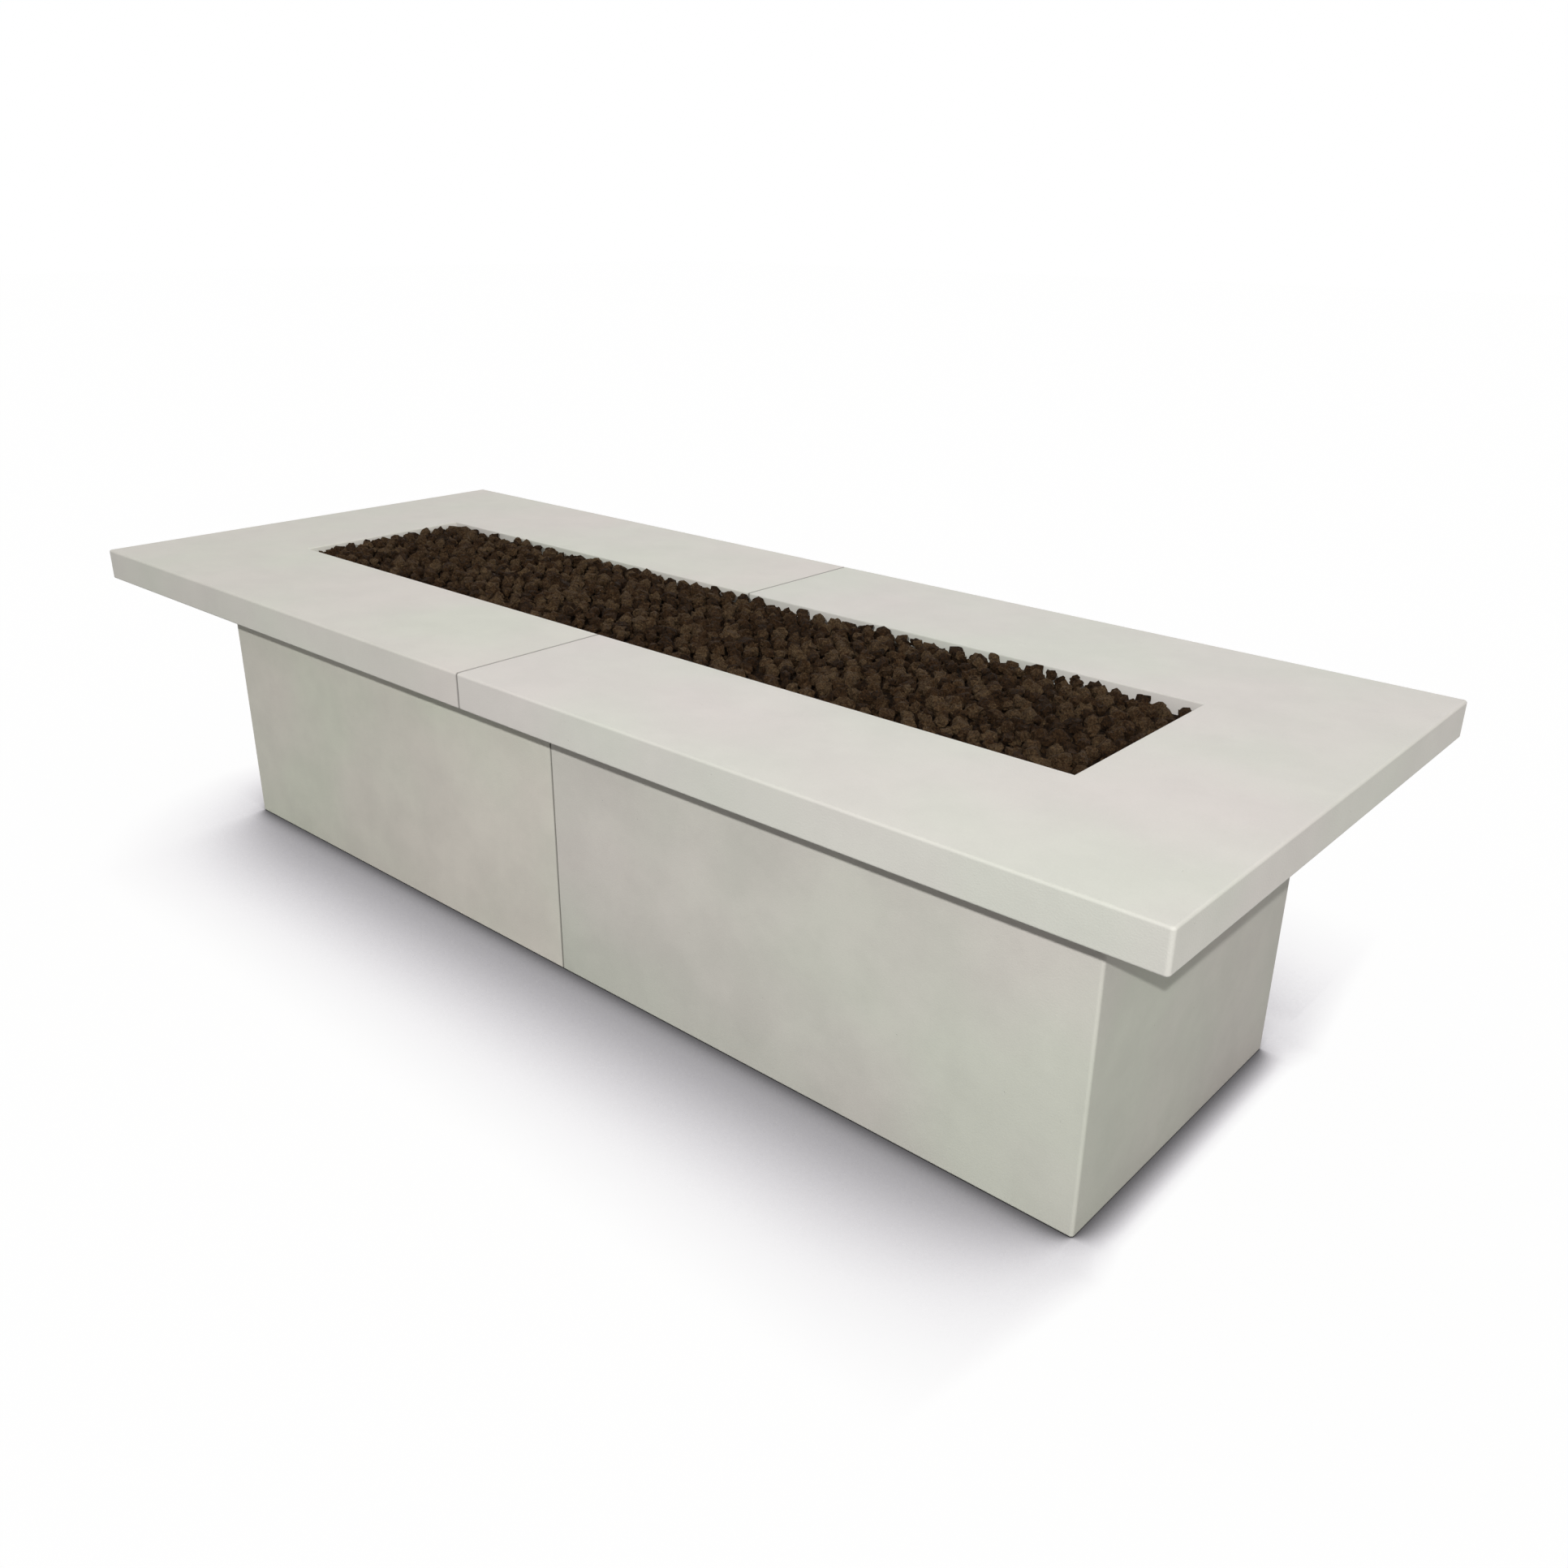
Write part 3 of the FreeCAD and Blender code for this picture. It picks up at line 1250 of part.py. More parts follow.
def build():
    slab = slab_half()
    save("top_slab_right", [slab])
    save("top_slab_left", [mirrored(slab)])
    shell = base_half()
    save("base_shell_right", [shell.cut(back_vent_cuts(bay_centre))])
    save("base_shell_left", [mirrored(shell).cut(door_cuts() + end_vent_cuts() + valve_cuts())])
    save("slab_splice_plates", splice_plates())
    save("slab_splice_screws", slab_screws(splice_screw_spots(-1) + splice_screw_spots(1),
                                           slab_bottom - splice_thickness))
    save("slab_fixing_screws", slab_screws(slab_screw_spots(-1) + slab_screw_spots(1),
                                           base_height - top_flange_thickness - washer_thickness))
    save("slab_fixing_washers", slab_washers())
    save("base_seam_bolts", seam_bolts())
    save("base_seam_nuts", seam_nuts())
    save("base_seam_washers", seam_washers())
    save("burner_pan", [burner_pan()])
    tube = burner_tube()
    save("burner_tube_right", [tube])
    save("burner_tube_left", [mirrored(tube)])
    save("burner_tee", [burner_tee()])
    save("burner_end_caps", burner_caps())
    save("burner_saddles", burner_saddles())
    save("inlet_nipple", [inlet_nipple()])
    save("nipple_locknuts", nipple_locknuts())
    save("burner_inlet_elbow", [elbow((0, 0, burner_inlet_z), 1, -1)])
    save("burner_hose", [burner_hose()])
    save("hose_nuts", hose_nuts())
    save("hose_clips", hose_clips())
    save("valve_outlet_elbow", [elbow((valve_centre_x, valve_y, outlet_z), -1, 1)])
    save("key_valve_body", [key_valve_body()])
    save("key_valve_plug", [key_valve_plug()])
    save("key_valve_cap", [key_valve_cap()])
    save("key_valve_locknut", [key_valve_nut()])
    save("valve_escutcheon", [valve_escutcheon()])
    save("valve_key", [valve_key()])
    save("supply_riser", [supply_riser()])
    save("riser_bracket", [riser_bracket()])
    save("riser_bracket_screws", [trim_screw((-wall_inner_x + riser_bracket_sheet, y, z), (-1, 0, 0))
                                  for y, z in bracket_screw_spots()])
    save("shutoff_valve_body", [shutoff_body()])
    save("shutoff_ball", [shutoff_ball()])
    save("shutoff_lever", [shutoff_lever()])
    save("lever_grip", [lever_grip()])
    save("lever_nut", [lever_nut()])
    save("door_frame", [door_frame()])
    save("door_frame_screws", [trim_screw((x, frame_face, z), (0, -1, 0)) for x, z in frame_screw_spots()])
    save("access_door", [access_door()])
    save("hinge_fixed_leaves", hinge_fixed_leaves())
    save("hinge_moving_leaves", hinge_moving_leaves())
    save("hinge_pins", hinge_pins())
    save("latch_housing", [latch_housing()])
    save("latch_nut", [latch_nut()])
    save("latch_spindle", [latch_spindle()])
    save("latch_cam", [latch_cam()])
    save("cam_nut", [cam_nut()])
    grille = vent_grille()
    save("vent_grilles", [on_back(grille), on_left_end(grille)])
    save("vent_screws", vent_screws())
    save("lava_rock_bed", [lava_rock_bed()])


build()
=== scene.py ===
import json
import math
import random

import bpy
from mathutils import Matrix, Vector
from mathutils.bvhtree import BVHTree
from mathutils.kdtree import KDTree

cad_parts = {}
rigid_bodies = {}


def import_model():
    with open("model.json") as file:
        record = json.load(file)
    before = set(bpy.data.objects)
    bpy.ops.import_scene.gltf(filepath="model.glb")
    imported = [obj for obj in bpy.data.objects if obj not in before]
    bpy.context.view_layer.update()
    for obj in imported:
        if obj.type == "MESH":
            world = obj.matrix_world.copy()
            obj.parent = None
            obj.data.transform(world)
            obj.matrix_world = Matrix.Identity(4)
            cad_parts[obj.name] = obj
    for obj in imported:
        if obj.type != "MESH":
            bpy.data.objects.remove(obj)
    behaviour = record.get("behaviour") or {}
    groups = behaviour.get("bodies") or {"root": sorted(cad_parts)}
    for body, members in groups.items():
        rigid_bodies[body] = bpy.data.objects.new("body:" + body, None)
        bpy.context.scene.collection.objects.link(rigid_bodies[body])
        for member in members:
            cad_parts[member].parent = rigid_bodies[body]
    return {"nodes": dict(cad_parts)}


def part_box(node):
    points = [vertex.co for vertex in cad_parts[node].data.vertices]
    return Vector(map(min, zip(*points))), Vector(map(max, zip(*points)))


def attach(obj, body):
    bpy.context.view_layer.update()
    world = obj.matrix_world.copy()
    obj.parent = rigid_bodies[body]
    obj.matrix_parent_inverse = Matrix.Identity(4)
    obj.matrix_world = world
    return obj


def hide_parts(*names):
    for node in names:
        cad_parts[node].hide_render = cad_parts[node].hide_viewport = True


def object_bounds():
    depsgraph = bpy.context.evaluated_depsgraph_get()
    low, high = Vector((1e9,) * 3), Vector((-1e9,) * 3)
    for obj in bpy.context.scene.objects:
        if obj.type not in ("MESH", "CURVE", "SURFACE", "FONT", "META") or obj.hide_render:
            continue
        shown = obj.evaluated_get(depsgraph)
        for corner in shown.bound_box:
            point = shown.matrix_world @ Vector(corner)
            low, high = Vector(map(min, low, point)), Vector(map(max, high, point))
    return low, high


for leftover in list(bpy.data.objects):  # the cube, lamp and camera of a new file
    bpy.data.objects.remove(leftover)

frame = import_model()
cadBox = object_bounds()
print("frame loaded")

stage = bpy.context.scene


# Small helpers for the node trees

bevelSamples = 6


def feed(tree, socket, value):
    if isinstance(value, bpy.types.NodeSocket):
        tree.links.new(value, socket)
    elif socket.type == "RGBA":
        socket.default_value = (*value, 1)
    else:
        socket.default_value = value


def addNode(tree, kind, sockets=None, **settings):
    made = tree.nodes.new("ShaderNode" + kind)
    for name, value in settings.items():
        setattr(made, name, value)
    for name, value in (sockets or {}).items():
        feed(tree, made.inputs[name], value)
    return made


def reckon(tree, how, *values):
    made = tree.nodes.new("ShaderNodeMath")
    made.operation = how
    for socket, value in zip(made.inputs, values):
        feed(tree, socket, value)
    return made.outputs[0]


def between(tree, value, low, high, first, last):
    # first up to low, last from high on, and a straight line in between
    sockets = {"Value": value, "From Min": low, "From Max": high, "To Min": first, "To Max": last}
    return addNode(tree, "MapRange", sockets).outputs[0]


def mixTones(tree, share, first, second, blend="MIX"):
    made = tree.nodes.new("ShaderNodeMix")
    made.data_type = "RGBA"
    made.blend_type = blend
    for socket, value in zip((made.inputs[0], made.inputs[6], made.inputs[7]), (share, first, second)):
        feed(tree, socket, value)
    return made.outputs[2]


def turned(tree, where, shift=(0, 0, 0), turn=(0, 0, 0), stretch=(1, 1, 1)):
    sockets = {"Vector": where, "Location": shift, "Rotation": turn, "Scale": stretch}
    return addNode(tree, "Mapping", sockets).outputs[0]


def noise(tree, where, scale=1.0, detail=2.0, rough=0.5, **place):
    if place:
        where = turned(tree, where, **place)
    sockets = {"Vector": where, "Scale": scale, "Detail": detail, "Roughness": rough}
    return addNode(tree, "TexNoise", sockets).outputs["Fac"]


def cells(tree, where, scale, output="Distance"):
    return addNode(tree, "TexVoronoi", {"Vector": where, "Scale": scale}).outputs[output]


def ramp(tree, value, *stops):
    made = addNode(tree, "ValToRGB", {"Fac": value})
    points = made.color_ramp.elements
    while len(points) < len(stops):
        points.new(0.5)  # each point gets its place below
    for point, (place, tone) in zip(points, stops):
        point.position = place
        point.color = (*tone, 1) if isinstance(tone, tuple) else (tone, tone, tone, 1)
    return made.outputs["Color"]


def vary(tree, *layers):
    total = 1 - sum(swing for pattern, swing in layers) / 2  # swings round 1
    for pattern, swing in layers:
        total = reckon(tree, "MULTIPLY_ADD", pattern, swing, total)
    return total


def tint(tree, colour, factor):
    return addNode(tree, "VectorMath", {0: colour, "Scale": factor}, operation="SCALE").outputs[0]


def newFinish(name):
    made = bpy.data.materials.new(name)
    made.use_nodes = True
    made.node_tree.nodes.clear()
    where = addNode(made.node_tree, "TexCoord").outputs["Object"]
    return made, made.node_tree, where


def coat(tree, colour, rough, height, depth, metal=0.0, level=0.5, arris=0.0):
    normal = {"Height": height, "Distance": depth}
    if arris:
        normal["Normal"] = addNode(tree, "Bevel", {"Radius": arris}, samples=bevelSamples).outputs[0]
    bump = addNode(tree, "Bump", normal)
    sockets = {"Base Color": colour, "Roughness": rough, "Metallic": metal,
               "Specular IOR Level": level, "Normal": bump.outputs[0]}
    shader = addNode(tree, "BsdfPrincipled", sockets)
    addNode(tree, "OutputMaterial", {"Surface": shader.outputs[0]})


def edgeWearAndHighlight(tree, arris):
    # where the rounded normal leaves the flat one
    rounded = addNode(tree, "Bevel", {"Radius": arris}, samples=bevelSamples).outputs[0]
    flat = addNode(tree, "NewGeometry").outputs["Normal"]
    along = addNode(tree, "VectorMath", {0: rounded, 1: flat}, operation="DOT_PRODUCT").outputs["Value"]
    return reckon(tree, "SUBTRACT", 1, along)


def directRays(tree):
    # 1 for rays from the camera, and for those mirrored or let through
    path = addNode(tree, "LightPath")
    direct = reckon(tree, "MAXIMUM", path.outputs["Is Camera Ray"], path.outputs["Is Glossy Ray"])
    return reckon(tree, "MAXIMUM", direct, path.outputs["Is Transmission Ray"])


# Cast concrete: one finish for each casting, so that the clouds break at the seams

concrete = {
    "tone": (0.655, 0.640, 0.600),
    "greenTone": (0.639, 0.648, 0.589),
    "pinkTone": (0.669, 0.634, 0.607),
    "hue": {"scale": 2.6, "shift": (4, 7, 2)},
    "hueStops": (0.34, 0.50, 0.66),
    "clouds": {"scale": 1.7, "detail": 3, "rough": 0.55},
    "patches": {"scale": 6.0, "detail": 4, "rough": 0.6},
    "smears": {"detail": 4, "rough": 0.6, "stretch": (9, 9, 10)},
    "smearStops": ((0.40, 0.0), (0.60, 1.0)),
    "strokes": {"detail": 3, "rough": 0.55, "turn": (0.3, 0.6, 0.5), "stretch": (5, 16, 12)},
    "grain": {"scale": 420.0},
    "streaks": {"detail": 3, "stretch": (26, 26, 3)},
    "cloudySwing": {"clouds": 0.10, "patches": 0.08, "smears": 0.024},
    "steadySwing": {"strokes": 0.03, "grain": 0.07, "streaks": 0.03},
    "holeScale": 55.0,
    "holeSharpness": 13,
    "holeGroups": {"scale": 31, "detail": 1},
    "holesOver": 0.63,  # holes only where the groups' noise is over this
    "holeShade": 0.45,
    "holeTone": (0.30, 0.29, 0.27),
    # pale arrises: part wear, part painted highlight
    "wornAndHighlightTone": (0.76, 0.75, 0.72),
    "wearAndHighlightSpread": 0.9,
    "wearAndHighlightGain": 4,  # then held to each casting's own wear and painted highlight
    "darkeningHeight": 0.30,
    "jointBand": (0.0009, 0.0032),
    # darkness at the joint: part dirt, part painted shade
    "jointDirtAndShade": 0.42,
    "jointNoPaleArris": 0.006,  # no pale edge nearer the joint than this
    "rough": 0.62,
    "glossSwing": {"clouds": 0.22, "grain": 0.12, "patches": 0.14},
    "level": 0.36,
    "relief": 0.0003,
    "holeRelief": -2.0,
    "patchRelief": 1.4,
}


def concreteFinish(name, shift, shade, cloudy, wearAndHighlight, arris, footDarkening=1.0):
    made, tree, where = newFinish(name)
    spot = turned(tree, where, shift=shift)
    kinds = ("clouds", "patches", "smears", "strokes", "grain", "streaks")
    patterns = {kind: noise(tree, spot, **concrete[kind]) for kind in kinds}
    patterns["smears"] = ramp(tree, patterns["smears"], *concrete["smearStops"])
    cloudyLayers = [(patterns[kind], swing * cloudy) for kind, swing in concrete["cloudySwing"].items()]
    steadyLayers = [(patterns[kind], swing) for kind, swing in concrete["steadySwing"].items()]
    factor = vary(tree, *cloudyLayers, *steadyLayers)
    hues = zip(concrete["hueStops"], (concrete["greenTone"], concrete["tone"], concrete["pinkTone"]))
    tones = ramp(tree, noise(tree, spot, **concrete["hue"]), *hues)

    # sparse pinholes left by air in the mix
    fromHole = reckon(tree, "MULTIPLY", cells(tree, spot, concrete["holeScale"]), concrete["holeSharpness"])
    pits = reckon(tree, "MAXIMUM", reckon(tree, "SUBTRACT", 1, fromHole), 0)
    groups = noise(tree, spot, **concrete["holeGroups"])
    holes = reckon(tree, "MULTIPLY", pits, reckon(tree, "GREATER_THAN", groups, concrete["holesOver"]))

    # a faint darkening towards the bottom, where the base meets the ground
    places = addNode(tree, "SeparateXYZ", {0: where})
    footDarkeningFactor = between(tree, places.outputs["Z"], 0.0, concrete["darkeningHeight"], footDarkening, 1.0)

    # dirt and painted shade in the joint between the halves
    away = reckon(tree, "ABSOLUTE", places.outputs["X"])
    jointDirtAndShadeFactor = between(tree, away, *concrete["jointBand"], concrete["jointDirtAndShade"], 1.0)
    factor = reckon(tree, "MULTIPLY", factor, jointDirtAndShadeFactor)

    # pale arrises, part wear and part painted highlight, but none along the joint
    wornAndHighlight = reckon(tree, "ADD", patterns["patches"], concrete["wearAndHighlightSpread"])
    wornAndHighlight = reckon(tree, "MULTIPLY", edgeWearAndHighlight(tree, arris), wornAndHighlight)
    wornAndHighlight = reckon(tree, "MULTIPLY", wornAndHighlight, reckon(tree, "GREATER_THAN", away, concrete["jointNoPaleArris"]))
    wornAndHighlight = reckon(tree, "MINIMUM", reckon(tree, "MULTIPLY", wornAndHighlight, concrete["wearAndHighlightGain"] * wearAndHighlight), wearAndHighlight)

    colour = mixTones(tree, 1.0, tones, shade, "MULTIPLY")
    colour = tint(tree, colour, reckon(tree, "MULTIPLY", factor, footDarkeningFactor))
    inHoles = reckon(tree, "MULTIPLY", holes, concrete["holeShade"])
    colour = mixTones(tree, inHoles, colour, concrete["holeTone"])
    colour = mixTones(tree, wornAndHighlight, colour, concrete["wornAndHighlightTone"])
    gloss = vary(tree, *((patterns[kind], swing) for kind, swing in concrete["glossSwing"].items()))
    rough = reckon(tree, "MULTIPLY", gloss, concrete["rough"])
    relief = reckon(tree, "MULTIPLY_ADD", patterns["patches"], concrete["patchRelief"], patterns["grain"])
    relief = reckon(tree, "MULTIPLY_ADD", holes, concrete["holeRelief"], relief)
    coat(tree, colour, rough, relief, concrete["relief"], level=concrete["level"], arris=arris)
    return made


# Lava rock: dark scoria with fine bubbles, its own tone on each rock

lavaLook = {
    "dark": (0.0060, 0.0029, 0.0011),
    "brown": (0.0390, 0.0192, 0.0076),
    "pale": (0.130, 0.086, 0.047),
    "toneStops": (0.12, 0.45, 0.95),
    "blotches": {"scale": 190, "detail": 5, "rough": 0.75},
    "dust": {"scale": 620},
    "bubbleScale": 330,
    "blotchShare": 1.35,
    "ownShare": 0.46,
    "ownShift": -0.42,
    "dustSwing": 0.7,
    "bubbleSwing": 0.9,
    "dustGloss": 0.2,
    "blotchGloss": 0.1,
    "level": 0.12,
    "relief": 0.0058,
    "bubbleRelief": 0.6,
    "dustRelief": 0.35,
}


def lavaFinish():
    made, tree, where = newFinish("lavaRock")
    own = addNode(tree, "Attribute", attribute_name="rockTone").outputs["Fac"]
    blotches = noise(tree, where, **lavaLook["blotches"])
    dust = noise(tree, where, **lavaLook["dust"])
    bubbles = cells(tree, where, lavaLook["bubbleScale"])
    mixed = reckon(tree, "MULTIPLY_ADD", own, lavaLook["ownShare"], lavaLook["ownShift"])
    mixed = reckon(tree, "MULTIPLY_ADD", blotches, lavaLook["blotchShare"], mixed)
    tones = (lavaLook["dark"], lavaLook["brown"], lavaLook["pale"])
    colour = ramp(tree, mixed, *zip(lavaLook["toneStops"], tones))
    shade = vary(tree, (dust, lavaLook["dustSwing"]), (bubbles, lavaLook["bubbleSwing"]))
    rough = vary(tree, (dust, lavaLook["dustGloss"]), (blotches, lavaLook["blotchGloss"]))
    relief = reckon(tree, "MULTIPLY_ADD", dust, lavaLook["dustRelief"], blotches)
    relief = reckon(tree, "MULTIPLY_ADD", bubbles, lavaLook["bubbleRelief"], relief)
    coat(tree, tint(tree, colour, shade), rough, relief, lavaLook["relief"], level=lavaLook["level"])
    return made


# Metals, each with its own grain and stain

metals = {
    "panSteel": {"tone": (0.56, 0.54, 0.51), "rough": 0.34,
                 "brush": (2, 60, 60), "stain": (0.42, 0.31, 0.20)},
    "zincSteel": {"tone": (0.64, 0.65, 0.66), "rough": 0.38,
                  "brush": (40, 40, 40), "stain": (0.80, 0.81, 0.82)},
    "screwSteel": {"tone": (0.66, 0.65, 0.64), "rough": 0.27,
                   "brush": (150, 20, 150), "stain": (0.50, 0.49, 0.47)},
    "brass": {"tone": (0.72, 0.52, 0.24), "rough": 0.30,
              "brush": (30, 30, 30), "stain": (0.40, 0.27, 0.12)},
    "chrome": {"tone": (0.68, 0.68, 0.69), "rough": 0.11,
               "brush": (90, 90, 90), "stain": (0.50, 0.50, 0.52)},
}
metalSurface = {
    "brushed": {"scale": 6, "detail": 3, "rough": 0.6},
    "stains": {"scale": 24, "detail": 4, "rough": 0.65},
    "stainStops": ((0.45, 0.0), (0.75, 1.0)),
    "spangleScale": 260,
    "brushedSwing": 0.16,
    "spangleSwing": 0.10,
    "brushedGloss": 0.5,
    "stainGloss": 0.6,
    "spangleGloss": 0.2,
    "relief": 0.00012,
    "arris": 0.0006,
}


def metalFinish(name):
    kind = metals[name]
    made, tree, where = newFinish(name)
    brushed = noise(tree, where, stretch=kind["brush"], **metalSurface["brushed"])
    stains = noise(tree, where, **metalSurface["stains"])
    spangles = cells(tree, where, metalSurface["spangleScale"], "Color")
    spangles = addNode(tree, "SeparateXYZ", {0: spangles}).outputs["X"]
    colour = mixTones(tree, ramp(tree, stains, *metalSurface["stainStops"]), kind["tone"], kind["stain"])
    shade = vary(tree, (brushed, metalSurface["brushedSwing"]), (spangles, metalSurface["spangleSwing"]))
    rough = vary(tree, (brushed, metalSurface["brushedGloss"]), (stains, metalSurface["stainGloss"]),
                 (spangles, metalSurface["spangleGloss"]))
    coat(tree, tint(tree, colour, shade), reckon(tree, "MULTIPLY", rough, kind["rough"]),
         reckon(tree, "ADD", brushed, stains), metalSurface["relief"], metal=1.0, arris=metalSurface["arris"])
    return made


# Powder coat in the concrete's colour, on the door and the vents

powderCoat = {
    "tone": (0.600, 0.588, 0.545),
    "rubbedTone": (0.70, 0.69, 0.66),
    "peel": {"scale": 1100.0, "detail": 1},
    "handling": {"scale": 9, "detail": 4, "rough": 0.6},
    "rain": {"detail": 4, "rough": 0.6, "stretch": (34, 34, 3)},
    "handlingSwing": 0.14,
    "rainSwing": 0.10,
    "peelSwing": 0.05,
    "rubbedEdge": 0.0012,
    "rubbedGain": 2.4,
    "rubbedShift": -0.5,
    "rubbedMost": 0.5,
    "rough": 0.44,
    "handlingGloss": 0.35,
    "peelGloss": 0.25,
    "relief": 0.00018,
    "arris": 0.0008,
}


def powderFinish():
    made, tree, where = newFinish("powderCoat")
    peel = noise(tree, where, **powderCoat["peel"])
    handling = noise(tree, where, **powderCoat["handling"])
    rain = noise(tree, where, **powderCoat["rain"])
    rubbed = reckon(tree, "MULTIPLY_ADD", handling, powderCoat["rubbedGain"], powderCoat["rubbedShift"])
    rubbed = reckon(tree, "MULTIPLY", edgeWearAndHighlight(tree, powderCoat["rubbedEdge"]), rubbed)
    rubbed = reckon(tree, "MINIMUM", reckon(tree, "MAXIMUM", rubbed, 0), powderCoat["rubbedMost"])
    shade = vary(tree, (handling, powderCoat["handlingSwing"]), (rain, powderCoat["rainSwing"]),
                 (peel, powderCoat["peelSwing"]))
    colour = mixTones(tree, rubbed, tint(tree, powderCoat["tone"], shade), powderCoat["rubbedTone"])
    rough = vary(tree, (handling, powderCoat["handlingGloss"]), (peel, powderCoat["peelGloss"]))
    rough = reckon(tree, "MULTIPLY", rough, powderCoat["rough"])
    coat(tree, colour, rough, peel, powderCoat["relief"], arris=powderCoat["arris"])
    return made


# The yellow coated gas hose, with the ribs of the pipe under its coat

hoseCoat = {
    "tone": (0.86, 0.60, 0.06),
    "ribPitch": 0.0055,
    "ribSwing": 0.22,
    "dust": {"scale": 38, "detail": 4, "rough": 0.6},
    "dustSwing": 0.24,
    "rough": 0.42,
    "dustGloss": 0.4,
    "relief": 0.0007,
}


def hoseFinish():
    made, tree, where = newFinish("hoseCoat")
    places = addNode(tree, "SeparateXYZ", {0: where})
    distance = reckon(tree, "ADD", places.outputs["X"], places.outputs["Y"])
    ribs = reckon(tree, "SINE", reckon(tree, "MULTIPLY", distance, 2 * math.pi / hoseCoat["ribPitch"]))
    ribs = reckon(tree, "MULTIPLY_ADD", ribs, 0.5, 0.5)  # from 0 to 1
    dust = noise(tree, where, **hoseCoat["dust"])
    shade = vary(tree, (ribs, hoseCoat["ribSwing"]), (dust, hoseCoat["dustSwing"]))
    rough = reckon(tree, "MULTIPLY", vary(tree, (dust, hoseCoat["dustGloss"])), hoseCoat["rough"])
    coat(tree, tint(tree, hoseCoat["tone"], shade), rough, ribs, hoseCoat["relief"])
    return made


# The red sleeve on the shut-off lever

leverSleeve = {
    "tone": (0.50, 0.035, 0.025),
    "pebble": {"scale": 900},
    "rubbed": {"scale": 60, "detail": 3},
    "pebbleSwing": 0.2,
    "rubbedSwing": 0.3,
    "rough": 0.46,
    "rubbedGloss": 0.5,
    "relief": 0.0002,
}


def sleeveFinish():
    made, tree, where = newFinish("leverSleeve")
    pebble = noise(tree, where, **leverSleeve["pebble"])
    rubbed = noise(tree, where, **leverSleeve["rubbed"])
    shade = vary(tree, (pebble, leverSleeve["pebbleSwing"]), (rubbed, leverSleeve["rubbedSwing"]))
    rough = reckon(tree, "MULTIPLY", vary(tree, (rubbed, leverSleeve["rubbedGloss"])), leverSleeve["rough"])
    coat(tree, tint(tree, leverSleeve["tone"], shade), rough, pebble, leverSleeve["relief"])
    return made


def dress(finish, *names):
    for name in names:
        for place in frame["nodes"][name].material_slots:
            place.material = finish


# the pale arrises of each casting are part wear and part painted highlight
castings = {
    "top_slab_left": {"shift": (0, 0, 0), "shade": (0.995, 0.99, 0.985), "cloudy": 1.3,
                      "wearAndHighlight": 0.10, "arris": 0.0014},
    "top_slab_right": {"shift": (5.3, 2.1, 0.4), "shade": (0.98, 0.975, 0.985), "cloudy": 1.3,
                       "wearAndHighlight": 0.10, "arris": 0.0014},
    "base_shell_left": {"shift": (9.7, 1.2, 3.3), "shade": (1.10, 1.10, 1.05), "cloudy": 2.0,
                        "wearAndHighlight": 0.03, "arris": 0.0022, "footDarkening": 0.965},
    "base_shell_right": {"shift": (3.1, 8.8, 6.1), "shade": (1.041, 1.044, 1.025), "cloudy": 2.0,
                         "wearAndHighlight": 0.03, "arris": 0.0022, "footDarkening": 0.90},
}
for casting, look in castings.items():
    dress(concreteFinish("concrete_" + casting, **look), casting)

lava = lavaFinish()
dress(lava, "lava_rock_bed")
dress(metalFinish("panSteel"), "burner_pan", "burner_tube_left", "burner_tube_right", "burner_end_caps",
      "burner_saddles", "burner_tee")
dress(metalFinish("zincSteel"), "slab_splice_plates", "slab_splice_screws", "slab_fixing_screws",
      "slab_fixing_washers", "base_seam_bolts", "base_seam_nuts", "base_seam_washers", "hose_clips",
      "inlet_nipple", "nipple_locknuts", "supply_riser", "riser_bracket", "riser_bracket_screws",
      "lever_nut", "cam_nut", "latch_cam", "shutoff_lever", "hinge_pins", "latch_nut")
dress(metalFinish("screwSteel"), "door_frame_screws", "vent_screws")
dress(powderFinish(), "access_door", "door_frame", "hinge_fixed_leaves", "hinge_moving_leaves",
      "vent_grilles")
dress(metalFinish("brass"), "burner_inlet_elbow", "valve_outlet_elbow", "key_valve_body", "key_valve_plug",
      "key_valve_cap", "key_valve_locknut", "shutoff_valve_body", "shutoff_ball", "hose_nuts")
dress(metalFinish("chrome"), "valve_escutcheon", "valve_key", "latch_housing", "latch_spindle")
dress(hoseFinish(), "burner_hose")
dress(sleeveFinish(), "lever_grip")
print("finishes on the CAD nodes")


# The lava rocks: the CAD bed gives the top of each upper rock, the gaps are filled by dropping more

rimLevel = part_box("top_slab_left")[1].z
openingHalf = Vector((0.93, 0.19))  # half the slab's opening, along and across

